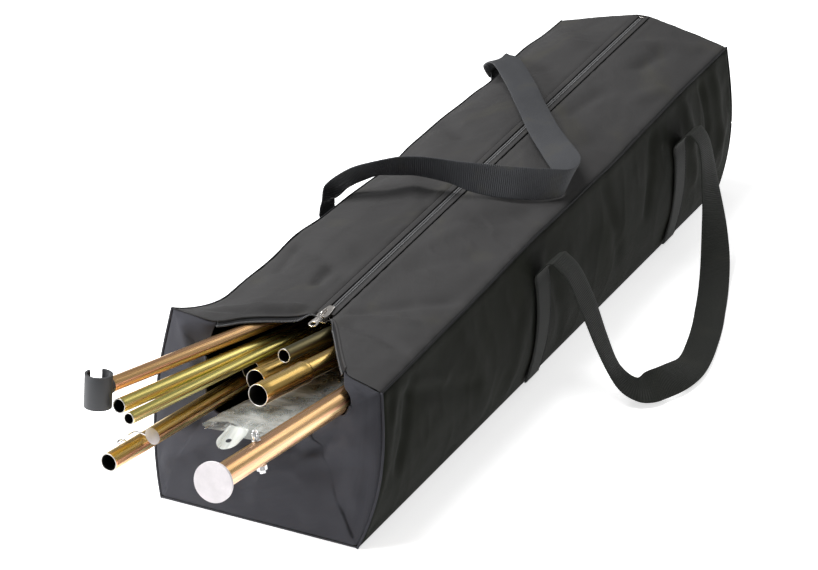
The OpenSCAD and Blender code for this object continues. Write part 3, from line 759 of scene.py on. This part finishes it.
def add_rear():
    y = BAG_LENGTH
    t = np.linspace(0, 1, 34)
    right = wall_point(RIGHT, np.full(34, y), t)
    right_top = top_point(RIGHT, np.ones(20), np.linspace(0, 1, 20))
    left_top = top_point(LEFT, np.ones(20), np.linspace(1, 0, 20))
    left = wall_point(LEFT, np.full(34, y), t[::-1])
    x = np.linspace(-BASE_HALF, BASE_HALF, 60)[1:-1]
    base = np.stack([x, 0 * x + y, 0 * x], axis=1)
    count = 160
    rim, _ = resample(np.concatenate([right, right_top[1:], left_top, left[1:], base, right[:1]]), count)
    middle = np.array([[0, y, 108.0]])

    def bulge(v, t):
        return 12 * (1 - (1 - t) ** 2)
    shape = spanned(rim, np.repeat(middle, count, axis=0), bulge, [0, 1, 0])
    creases = [((100, 1108, 190), (60, 1112, 60), 16, 3.5), ((-90, 1108, 180), (-40, 1112, 70), 16, -3.5),
               ((20, 1112, 200), (30, 1112, 120), 12, -3)]
    piece, _ = cloth_panel("rear_cloth", shape, count, 30, False, creases, 31, SIDE_CLOTH_PAINTED_SHADE, (0, 0, 1, 0))
    dress(piece, "side_fabric", "rear_end_panel")


def add_base():
    def shape(v, t):
        y = v * BAG_LENGTH
        return np.stack([mix(-BASE_HALF, BASE_HALF, t), y, 1.2 + 0 * y], axis=-1)
    piece, _ = cloth_panel("base_cloth", shape, 160, 40, True, [], 41, SIDE_CLOTH_PAINTED_SHADE, (1, 1, 1, 1))
    dress(piece, "side_fabric", "base_panel")


def add_seams():
    """Sewn ridges where the panels meet, sunk in the groove between them."""
    def seam(name, line, radius, material=SEAM_THREAD, slot="side_fabric"):
        dress(bead(name, line, radius, material), slot)
    for name, side in SIDES:
        start = leaned(0, lean_edge(side, np.array(0.0)))
        stations = mix(float(start), BAG_LENGTH, np.linspace(0, 1, 320))
        x, z = edge_x(side, stations), edge_z(side, stations)
        seam(name + "_top_seam", np.stack([side * (x - 0.3), stations, z - 0.6], axis=1), 1.25)
    t = np.linspace(1, 0, 60)
    for name, side in SIDES:
        line = wall_point(side, np.zeros(60), t) + np.array([-side * 0.4, 0.2, 0.4])
        seam(name + "_front_seam", line, 1.5, FRONT_CLOTH_PAINTED_LIGHT, "front_fabric")
    for name, side in SIDES:
        line = wall_point(side, np.full(60, BAG_LENGTH), t) + np.array([-side * 0.6, -0.2, 0.6])
        seam(name + "_rear_seam", line, 1.4)
    x = np.linspace(-BASE_HALF, BASE_HALF, 80)
    low_z, low_r = 1.7, 1.3
    front = np.stack([x, 0 * x + 0.6, 0 * x + low_z], axis=1)
    seam("base_front_seam", front, low_r, FRONT_CLOTH_PAINTED_LIGHT, "front_fabric")
    along = np.linspace(0, BAG_LENGTH, 300)
    for name, side in SIDES:
        line = np.stack([side * (BASE_HALF - 0.4) + 0 * along, along, 0 * along + low_z], axis=1)
        seam("base_" + name + "_seam", line, low_r)
    seam("base_rear_seam", np.stack([x, 0 * x + BAG_LENGTH - 0.3, 0 * x + low_z], axis=1), low_r)


# ---- the zip ----

HINGE = np.array(JOINTS["pull_swing"]["pos_m"]) / MM + np.array([0, BAG_LENGTH / 2, 0])
ZIP_WAY = unit(np.array(JOINTS["zip_slide"]["axis"], float))
ZIP_UP = np.array([0, -ZIP_WAY[2], ZIP_WAY[1]])
ZIP_START = HINGE - 5 * ZIP_WAY - 4 * ZIP_UP
ZIP_LENGTH = (BAG_LENGTH - SLIDER_Y) / ZIP_WAY[1] - 6
COIL_PITCH = 1.7


def on_zip(x, along, up):
    """A point beside, along and above the zip's line."""
    x, along, up = np.broadcast_arrays(np.asarray(x, float), along, up)
    side = np.array([1.0, 0, 0])
    return ZIP_START + x[..., None] * side + along[..., None] * ZIP_WAY + up[..., None] * ZIP_UP


def ribbon(name, edge_a, edge_b, material, thickness=0.9):
    """A flat strip between two lines of points."""
    cols = 5
    t = np.linspace(0, 1, cols)[None, :, None]
    points = edge_a[:, None] * (1 - t) + edge_b[:, None] * t
    s = np.concatenate([[0], np.cumsum(np.linalg.norm(np.diff(edge_a, axis=0), axis=1))]) * MM
    w = np.linalg.norm(edge_b[0] - edge_a[0]) * MM
    uvs = [(float(k) * w, float(v)) for v in s for k in np.linspace(0, 1, cols)]
    return thicken(make_piece(name, points, grid_faces(len(edge_a), cols), [material], uvs), thickness, 0)


def tooth_row(name, centres, ways, widths, material, radius):
    """Small rounded coil turns, one across each centre."""
    ring, points, faces = 6, [], []
    turn = grid_faces(4, ring, wrap=True, caps=True)
    for centre, way, half in zip(centres, ways, widths):
        up = unit(np.cross(half, way))
        first = len(points)
        for place, size in ((-1.0, 0.55), (-0.75, 1.0), (0.75, 1.0), (1.0, 0.55)):
            for k in range(ring):
                a = 2 * math.pi * k / ring
                out = math.cos(a) * way + math.sin(a) * up
                points.append(centre + place * half + size * radius * out)
        faces += [tuple(first + k for k in face) for face in turn]
    uvs = [(p[0] * MM, p[1] * MM) for p in points]
    return make_piece(name, points, faces, [material], uvs)


def add_zip():
    s = np.linspace(12, ZIP_LENGTH, 300)
    for name, side in SIDES:
        inner = on_zip(side * 2.2, s, -1.9)
        outer = on_zip(side * 12.0, s, -1.9)
        dress(ribbon(name + "_tape_cloth", inner, outer, TAPE), "zip_tape", name + "_zip_tape")
        stagger = COIL_PITCH / 2 if side == RIGHT else 0
        centres = on_zip(side * 1.5, np.arange(27, ZIP_LENGTH - 6, COIL_PITCH) + stagger, -0.9)
        ways = np.repeat(ZIP_WAY[None], len(centres), axis=0)
        halves = np.repeat(np.array([[1.25, 0, 0]]), len(centres), axis=0)
        teeth = tooth_row(name + "_coil_turns", centres, ways, halves, COIL, 0.66)
        dress(teeth, "zip_coil", name + "_zip_coil")
        fold = on_zip(side * (5.2 + 0.35 * rough_line(s, 5 + side, 40)), s, -0.3)
        dress(bead(name + "_zip_fold", fold, 1.35, TOP_CLOTH_PAINTED_LIGHT, flat=0.8), "top_fabric")
        a, b = on_zip(side * 5.6, s, -0.1), on_zip(side * 10.6, s, 0.4)
        dress(ribbon(name + "_zip_facing", a, b, TOP_CLOTH_PAINTED_LIGHT, thickness=1.2), "top_fabric")


def lathe(name, profile, axes, materials, slots, segments, body):
    """Turns a profile of (radius, height) pairs round the axis z of the given axes."""
    origin, x_axis, z_axis = axes["origin"], axes["x"], axes["z"]
    y_axis = np.cross(z_axis, x_axis)
    points, uvs = [], []
    steps = [0.0]
    for a, b in zip(profile, profile[1:]):
        steps.append(steps[-1] + math.hypot(b[0] - a[0], b[1] - a[1]))
    for (radius, height), s in zip(profile, steps):
        for k in range(segments + 1):
            a = 2 * math.pi * k / segments
            out = math.cos(a) * x_axis + math.sin(a) * y_axis
            points.append(origin + radius * out + height * z_axis)
            uvs.append((k / segments * 2 * math.pi * 10 * MM, s * MM))
    cols = segments + 1
    faces = grid_faces(len(profile), cols)
    face_slots = None
    if slots:
        face_slots = [slots[r] for r in range(len(profile) - 1) for _ in range(segments)]
    piece = make_piece(name, points, faces, materials, uvs, face_slots, body)
    weld = piece.modifiers.new("Weld", "WELD")
    weld.merge_threshold = 0.00001
    return piece


def add_slider():
    """The slider's arched body and its pull tab with a ring end."""
    def plate(up, lift):
        pts = []
        for s, half in ((0, 4.6), (2, 6.0), (8, 6.5), (17, 5.2), (24, 4.2), (26, 3.4)):
            pts.append([on_zip(half * f, s, up + lift * (1 - f * f)) for f in np.linspace(-1, 1, 9)])
        pts = np.array(pts)
        return np.stack([catmull(pts[:, c], 5) for c in range(pts.shape[1])], axis=1)
    for name, up, lift in (("slider_top_plate", 2.2, 0.9), ("slider_bottom_plate", -4.2, 0.0)):
        points = plate(up, lift)
        piece = make_piece(name, points, grid_faces(*points.shape[:2], flip=True), [NICKEL], body="slider")
        thicken(piece, 1.2, 0)
        bevel(piece, 0.35)
        dress(piece, "nickel", *(["zip_slider"] if name == "slider_top_plate" else []))
    humped = ((1.0, 3.0), (1.6, 4.8), (5, 6.4), (10, 6.2), (13.5, 4.8), (14.5, 3.0))
    arch = catmull([on_zip(0, s, up) for s, up in humped], 8)
    dress(bead("slider_bridge", arch, 1.5, NICKEL, body="slider", flat=0.55, up=(1, 0, 0)), "nickel")
    # the post is thin enough to run between the two rows of coil
    post = np.linspace(on_zip(0, 3, -4), on_zip(0, 3, 2.6), 6)
    dress(bead("slider_post", post, 0.18, NICKEL, body="slider", up=(0, 1, 0)), "nickel")
    add_pull()


def bevel(piece, width, angle=35.0, segments=2):
    """Rounds the edges that are sharper than the angle; the width is in millimetres."""
    mod = piece.modifiers.new("Bevel", "BEVEL")
    mod.width = width * MM
    mod.segments = segments
    mod.limit_method = "ANGLE"
    mod.angle_limit = math.radians(angle)
    return piece


def add_pull():
    """A flat tab from the hinge, waisted, with a round ring at its end."""
    tilt = math.radians(4)
    way = -(math.cos(tilt) * ZIP_WAY + math.sin(tilt) * ZIP_UP)
    up = -math.sin(tilt) * ZIP_WAY + math.cos(tilt) * ZIP_UP
    side = np.array([1.0, 0, 0])
    length, ring_r, hole_r, half_thick, cols = 28.0, 5.4, 3.2, 0.75, 72
    centre = length - ring_r
    outer, inner = [], []
    for k in range(cols):
        a = 2 * math.pi * k / cols
        c, s = math.cos(a), math.sin(a)
        # the outline: a round end, straight sides, and a narrow end at the hinge
        along = centre + ring_r * c
        half = ring_r * s
        if c < 0:
            along = centre + c * (centre - 1.5)
            taper = 1 - 0.52 * min(1.0, -c * 1.25)
            half = math.copysign(ring_r * taper * min(1.0, abs(s) * 6), s)
        outer.append(HINGE + along * way + half * side)
        inner.append(HINGE + (centre + hole_r * c) * way + hole_r * s * side)
    lift = half_thick * up
    outer, inner = np.array(outer), np.array(inner)
    points = np.array([outer + lift, inner + lift, inner - lift, outer - lift])
    faces = grid_faces(4, cols, wrap=True)
    last = [(3 * cols + k, 3 * cols + (k + 1) % cols, (k + 1) % cols, k) for k in range(cols)]
    piece = make_piece("pull_tab_plate", points, faces + last, [NICKEL], body="pull_tab")
    bevel(piece, 0.3)
    dress(piece, "nickel", "zip_pull")
    eye = [HINGE + 1.5 * (math.cos(a) * way + math.sin(a) * up) for a in np.linspace(0, 2 * math.pi, 25)]
    dress(bead("pull_tab_eye", eye, 0.8, NICKEL, body="pull_tab", up=(1, 0.01, 0)), "nickel")


# ---- webbing handles ----

WEB_W, WEB_T = 39, 2.0
SEWN_OFF = CLOTH + WEB_T / 2
SEWN_TOP = 146
STITCH_ROWS = (-17, 17)
LEFT_ENDS, RIGHT_ENDS = (440, 935), (440, 890)
LEFT_TAIL = [(145, 160), (147.6, 170.5)]
RIGHT_TAIL = [(148, 160), (153, 166), (158, 168)]
# Each row is a point on the middle of the strap and the direction of its width
LEFT_ROUTE = [
    (-147.6, 440, 173.5, 0, 1, 0), (-146, 440, 184, 0, 1, 0),
    (-138, 447, 201, .4, .8, -.2), (-112, 450, 220, .3, .75, -.5), (-84, 452, 233, .1, .75, -.65),
    (-50, 470, 236, .2, .6, -.75), (-12, 482, 233, .2, .4, -.85), (25, 484, 230, .15, .1, -.98),
    (67, 500, 225, .1, -.3, -.95), (100, 526, 219, 0, -.2, -.95), (121, 552, 216, -.3, 0, -.95),
    (113, 580, 220, -.5, -.35, -.8), (84, 612, 225, -.75, -.5, -.4), (44, 660, 229, -.8, -.55, -.15),
    (-2, 722, 234, -.8, -.55, 0), (-48, 784, 240, -.75, -.6, 0), (-92, 842, 240, -.6, -.75, 0),
    (-128, 890, 220, -.3, -.95, 0), (-146, 931, 196, 0, -1, 0), (-147, 935, 184, 0, -1, 0),
    (-147.6, 935, 173.5, 0, -1, 0)]
RIGHT_ROUTE = [
    (162, 440, 168, 0, 1, 0), (179, 441, 152, 0, 1, 0), (195, 445, 117, 0, 1, .1),
    (214, 447, 70, -.1, 1, .1), (236, 446, 32, -.3, .95, .2), (262, 447, 17, -.45, .8, .35),
    (284, 464, 21, -.4, .3, .85), (294, 510, 16, -.8, .1, .55), (289, 570, 6, -1, -.1, .1),
    (272, 650, 2.5, -1, -.25, 0), (248, 738, 2.5, -.95, -.3, 0), (224, 812, 12, -.9, -.45, .05),
    (203, 862, 52, -.5, -.85, 0), (186, 884, 100, -.2, -1, 0), (174, 890, 150, 0, -1, 0),
    (162, 890, 168, 0, -1, 0)]


def sewn_rows(side, y, tail, down):
    """Rows of the webbing sewn to the wall; down is True where it is followed downwards."""
    seam = float(mix(SEAM_Z[0], SEAM_Z[1], y / BAG_LENGTH))
    rows = []
    for t in np.linspace(0.045, SEWN_TOP / seam, 9):
        z = t * (seam - 0.6)
        x = mix(BASE_HALF, mix(SEAM_HALF[0], SEAM_HALF[1], y / BAG_LENGTH), t)
        x += 14 * math.sin(math.pi * t ** 0.9) + SEWN_OFF + 1.5
        rows.append((side * x, y, z - SEWN_OFF * (1 - 2 * t), 0, 1, 0))
    rows += [(side * x, y, z, 0, 1, 0) for x, z in tail]
    if down:
        rows = [(x, py, z, 0, -1, 0) for x, py, z, *_ in rows[::-1]]
    return rows


def strap(name, rows, material):
    """Flat webbing with real cross ribs, rounded edges and a slight crown."""
    line = catmull(rows, 12)
    spacing = RIB_PITCH / 4
    total = resample(line, 10)[1]
    count = int(total / spacing)
    line, total = resample(line, count)
    middle = line[:, :3]
    along = unit(np.gradient(middle, axis=0))
    width = unit(line[:, 3:6])
    face = unit(np.cross(along, width))
    wide = np.cross(face, along)
    s = np.linspace(0, total, count)
    ribs = 0.16 * np.cos(2 * math.pi * s / RIB_PITCH)
    half = WEB_W / 2
    # the section's points: share of the half width, height over the middle, and share of the ribs
    crown = [(-0.985, 0.7, 0.4), (-0.93, 1.0, 1), (-0.5, 1.06, 1), (0, 1.08, 1), (0.5, 1.06, 1),
             (0.93, 1.0, 1), (0.985, 0.7, 0.4)]
    under = [(across, max(-1.0, -lift), ribbed) for across, lift, ribbed in crown[::-1]]
    section = [(-1.0, 0.0, 0), *crown, (1.0, 0.0, 0), *under]
    sway = 0.5 * rough_line(s, 11, 45)
    curl = 0.9 * rough_line(s, 17, 60)
    rings = []
    for across, lift, ribbed in section:
        thick = lift * (WEB_T / 2) + math.copysign(1, lift) * ribbed * ribs if lift else 0 * ribs
        cup = curl * (across * across - 0.4)
        place = middle + (across * half + sway)[:, None] * wide + (thick + cup)[:, None] * face
        rings.append(place)
    points = np.stack(rings, axis=1)
    points[..., 2] = np.maximum(points[..., 2], 0.6)
    faces = grid_faces(count, len(section), wrap=True, caps=True)
    uvs = [(across * half * MM, v * MM) for v in s for across, _, _ in section]
    return make_piece(name, points, faces, [material], uvs, body=None)


def stitches(name, rows, offsets):
    """Rows of thread dashes along the sewn webbing, at offsets across its width."""
    line = catmull(rows, 10)
    # about one point to a millimetre
    line, _ = resample(line, int(sum(np.linalg.norm(np.diff(line[:, :3], axis=0), axis=1))))
    middle = line[:, :3]
    along = unit(np.gradient(middle, axis=0))
    width = unit(line[:, 3:6])
    out = unit(np.cross(along, width))
    out = out * np.sign(out[:, :1] * middle[:, :1])
    centres, ways, halves = [], [], []
    for offset in offsets:
        for i in range(2, len(line) - 2, 4):
            centres.append(middle[i] + width[i] * offset + out[i] * (WEB_T / 2 + 0.35))
            ways.append(width[i])
            halves.append(along[i] * 1.35)
    return tooth_row(name, centres, ways, halves, SEAM_THREAD, 0.42)


def add_handles():
    # the last two are places in the shared frame, in metres
    jobs = (("left", LEFT, WEBBING, LEFT_ENDS, LEFT_TAIL, LEFT_ROUTE,
             (-0.15, 0, 0.1695), (-0.15, 0, 0.1745)),
            ("right", RIGHT, WEBBING_PAINTED_SHADE, RIGHT_ENDS, RIGHT_TAIL, RIGHT_ROUTE,
             (0.157, 0, 0.168), (0.163, 0, 0.168)))
    for name, side, cloth, (front_y, rear_y), tail, route, start, end in jobs:
        up_rows = sewn_rows(side, front_y, tail, False)
        down_rows = sewn_rows(side, rear_y, tail, True)
        piece = strap(name + "_handle_webbing", up_rows + route + down_rows, cloth)
        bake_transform(piece)
        parts = ("_front_sewn_strap", "_rear_sewn_strap", "_handle_loop")
        dress(piece, "webbing", *(name + part for part in parts))
        for label, rows in (("front", up_rows), ("rear", down_rows)):
            sewn = [r for r in rows if r[2] < 150]
            dress(stitches(name + "_" + label + "_stitches", sewn, STITCH_ROWS), "webbing")


# ---- poles ----

def pole_frame(node, joint):
    """Front end, axes, radius and length of a tube, measured on its CAD node."""
    z_axis = unit(np.array(JOINTS[joint]["axis"], float))
    x_axis = unit(np.array([-z_axis[1], z_axis[0], 0.0]))
    y_axis = np.cross(z_axis, x_axis)
    mesh = frame["nodes"][node].data
    co = np.array([v.co for v in mesh.vertices], float) / MM
    co[:, 1] += BAG_LENGTH / 2
    sx, sy, sz = co @ x_axis, co @ y_axis, co @ z_axis
    origin = (sx.min() + sx.max()) / 2 * x_axis + (sy.min() + sy.max()) / 2 * y_axis + sz.max() * z_axis
    return {"origin": origin, "x": x_axis, "z": z_axis,
            "radius": (sx.max() - sx.min()) / 2, "length": sz.max() - sz.min()}


TUBE_WALL, SOCKET_BORE = 1.2, 22.4


def tube_profile(radius, length):
    """Outside from the back to the front rim, round it, and back along the bore."""
    inner = radius - TUBE_WALL
    back = [(radius, -length + k * (length - 3) / 24) for k in range(25)]
    rim = [(radius, -0.5), (radius - 0.15, -0.12), (radius - 0.4, 0.0), (inner + 0.35, 0.0),
           (inner + 0.1, -0.15), (inner, -0.6)]
    bore = [(inner, -6), (inner, -40), (inner, -length + 0.4)]
    slots = [0] * 25 + [1] * 5 + [2] * 3 + [1]
    return back + rim + bore + [(radius, -length)], slots


def socket_profile(radius, length):
    """A sleeve with a rolled collar where it steps down to its tube."""
    inner = SOCKET_BORE / 2
    profile = [(inner - 0.2, -length), (radius - 1.0, -length), (radius - 0.3, -length + 0.4),
               (radius, -length + 1.4), (radius + 0.35, -length + 3.0), (radius + 0.35, -length + 6.5),
               (radius, -length + 8.5), (radius, -length + 16), (radius - 0.12, -length / 2),
               (radius, -14), (radius, -0.6), (radius - 0.2, -0.1), (radius - 0.45, 0),
               (inner + 0.25, 0), (inner, -0.5), (inner, -12), (inner, -34), (inner, -60),
               (inner - 0.2, -60.2), (inner - 0.2, -length)]
    return profile, [0] * 11 + [1] * 3 + [2] * 5


def add_steel(name, node, body, shape, material, segments):
    """A turned tube or sleeve, with a plain rim and an inside painted near black as shade."""
    f = pole_frame(node, body + "_slide")
    profile, slots = shape(f["radius"], f["length"])
    piece = lathe(name, profile, f, [material, RIM, BORE_PAINTED_SHADE], slots, segments, body)
    dress(piece, "chromate_steel", node)


def finish_cad(node, material, width):
    """A CAD node kept as it is, with eased edges and a procedural material."""
    piece = frame["nodes"][node]
    piece.data.materials.clear()
    piece.data.materials.append(material)
    weld = piece.modifiers.new("Weld", "WELD")
    weld.merge_threshold = 0.00002
    bevel(piece, width, 30, 3)


def add_poles():
    gold = chromate_material("chromate_gold", (0.95, 0.70, 0.30))
    rose = chromate_material("chromate_rose", (1.0, 0.56, 0.36), 0.45)
    green = chromate_material("chromate_green", (0.78, 0.84, 0.28), 0.45)
    # A near-black copy of the chromate for the short pole: painted shade for the pole lying in shadow
    # under the others.
    painted_shade_chromate = chromate_material("chromate_painted_shade", (0.10, 0.11, 0.07), 0.85, (0.3, 0.45))
    brown = chromate_material("chromate_brown", (0.62, 0.46, 0.20))
    tubes = [("clip_pole", rose), ("common_pole", green), ("narrow_pole", green),
             ("short_pole", painted_shade_chromate), ("pin_pole", brown), ("foot_pole", rose)]
    tubes += [("socket_pole_" + key, gold) for key in "abc"]
    for body, material in tubes:
        add_steel(body + "_steel", body + "_tube", body, tube_profile, material, 56)
        if material is gold:
            node = body.replace("_pole", "")
            add_steel(node + "_sleeve", node, body, socket_profile, gold, 64)
    finishes = (("pole_clip", CLIP, 0.55), ("lock_pin", PALE, 0.3), ("lock_pin_bail", ZINC, 0.1),
                ("foot_plate", PALE, 0.5), ("wing_bolt", ZINC, 0.3), ("bolt_nut", ZINC, 0.4),
                ("zip_end_stop", NICKEL, 0.3))
    for node, material, width in finishes:
        finish_cad(node, material, width)


# ---- pouch of pegs ----

POUCH = {"at": (-10, -20, 121), "roll": 3, "half": 42, "thick": 12, "length": 230}
TAB = {"bend": 24, "half": 13.5, "length": 36.0, "round": 13.4, "hole": 3.25}


def pouch_axes():
    """The middle of the pouch's mouth and its axes, turned by its roll."""
    z_axis = unit(np.array(JOINTS["pouch_slide"]["axis"], float))
    x0 = unit(np.array([-z_axis[1], z_axis[0], 0.0]))
    y0 = np.cross(z_axis, x0)
    a = math.radians(POUCH["roll"])
    x_axis = math.cos(a) * x0 + math.sin(a) * y0
    return np.array(POUCH["at"], float), x_axis, np.cross(z_axis, x_axis), z_axis


def crumple(u, v, seed):
    """Height of creased film over a grid."""
    out = np.empty(u.shape)
    for i in np.ndindex(u.shape):
        p = Vector((u[i] / 17, v[i] / 22, seed))
        q = Vector((u[i] / 7, v[i] / 9, seed + 5))
        out[i] = 2.0 * abs(noise.noise(p)) + 0.9 * abs(noise.noise(q)) - 0.9
    return out


def add_pouch():
    origin, x, y, z = pouch_axes()
    rows, cols = 110, 56
    ring = np.linspace(0, 2 * math.pi, cols, endpoint=False)
    depth = np.linspace(0, -POUCH["length"], rows)
    angle, back = np.meshgrid(ring, depth)
    across = POUCH["half"] * np.sign(np.cos(angle)) * np.abs(np.cos(angle)) ** 0.75
    lift = POUCH["thick"] / 2 * np.sign(np.sin(angle)) * np.abs(np.sin(angle)) ** 0.7
    folds = crumple(across + 3 * np.sign(lift), back, 2.0 + 0 * across[0, 0])
    close = np.clip((back + POUCH["length"]) / 30, 0.06, 1)
    lift = lift * close + folds * np.sign(lift + 0.01) * np.clip(np.abs(lift) / 3, 0, 1)
    mouth = 4 * np.sin(across / 9) * np.clip(1 + back / 20, 0, 1)
    points = (origin + across[..., None] * x + lift[..., None] * y + (back + mouth)[..., None] * z)
    uvs = [(a / 6.28 * 0.18, -b * MM) for a, b in zip(angle.ravel(), back.ravel())]
    film = make_piece("pouch_film", points, grid_faces(rows, cols, wrap=True), [FILM], uvs, body="pouch")
    dress(film, "clear_film", "peg_pouch")
    add_tab(origin, x, y, z)
    add_pegs(origin, x, z)


def add_tab(origin, x, y, z):
    """The pouch's header tab, bent down over the bag's lip, with a punched hole."""
    tilt = math.radians(TAB["bend"])
    way = math.cos(tilt) * z - math.sin(tilt) * y
    out = np.cross(way, x)
    start = origin + 2 * x + 4.4 * y - 2 * z
    rings, rows, count = [], 12, 64
    hole, half = TAB["hole"], TAB["half"]
    centre = TAB["length"] - 13
    for share in np.linspace(0, 1, rows):
        row = []
        for k in range(count):
            a = 2 * math.pi * k / count
            c, s = math.cos(a), math.sin(a)
            reach = TAB["round"] if c > 0 else min(half / max(abs(s), 1e-6), centre / max(abs(c), 1e-6))
            r = mix(hole, reach, share)
            wave = 0.9 * math.sin(r * s / 5) * share + 0.8 * math.sin(r * c / 6 + 1) * share
            row.append(start + (centre + r * c) * way + r * s * x + wave * out)
        rings.append(row)
    points = np.array(rings)
    uvs = [(p[0] * MM, p[2] * MM) for p in points.reshape(-1, 3)]
    tab = make_piece("pouch_tab", points, grid_faces(rows, count, wrap=True), [FILM], uvs, body="pouch")
    dress(thicken(tab, 0.8, 0), "clear_film")


def add_pegs(origin, x, z):
    """Four pointed rods side by side, each set back a little from the last."""
    for i in range(4):
        foot = origin + (-POUCH["half"] + 10 + i * 15) * x + (-POUCH["length"] + 8 + (3 - i) * 8) * z
        profile = [(0.01, 0), (2.4, 0), (2.9, 0.5), (3, 1.5), (3, 60), (3, 130), (3, 189), (2.8, 192),
                   (1.6, 203), (0.5, 211), (0.01, 212)]
        axes = {"origin": foot, "x": x, "z": z}
        peg = lathe("ground_peg_" + str(i + 1), profile, axes, [ZINC], None, 28, "pouch")
        dress(peg, "peg_steel", *(["ground_pegs"] if i == 0 else []))


def main():
    add_camera()
    add_studio()
    add_sides()
    tops = add_tops()
    add_front()
    add_lips(tops)
    add_rear()
    add_base()
    add_seams()
    add_zip()
    add_slider()
    add_handles()
    add_poles()
    add_pouch()


main()
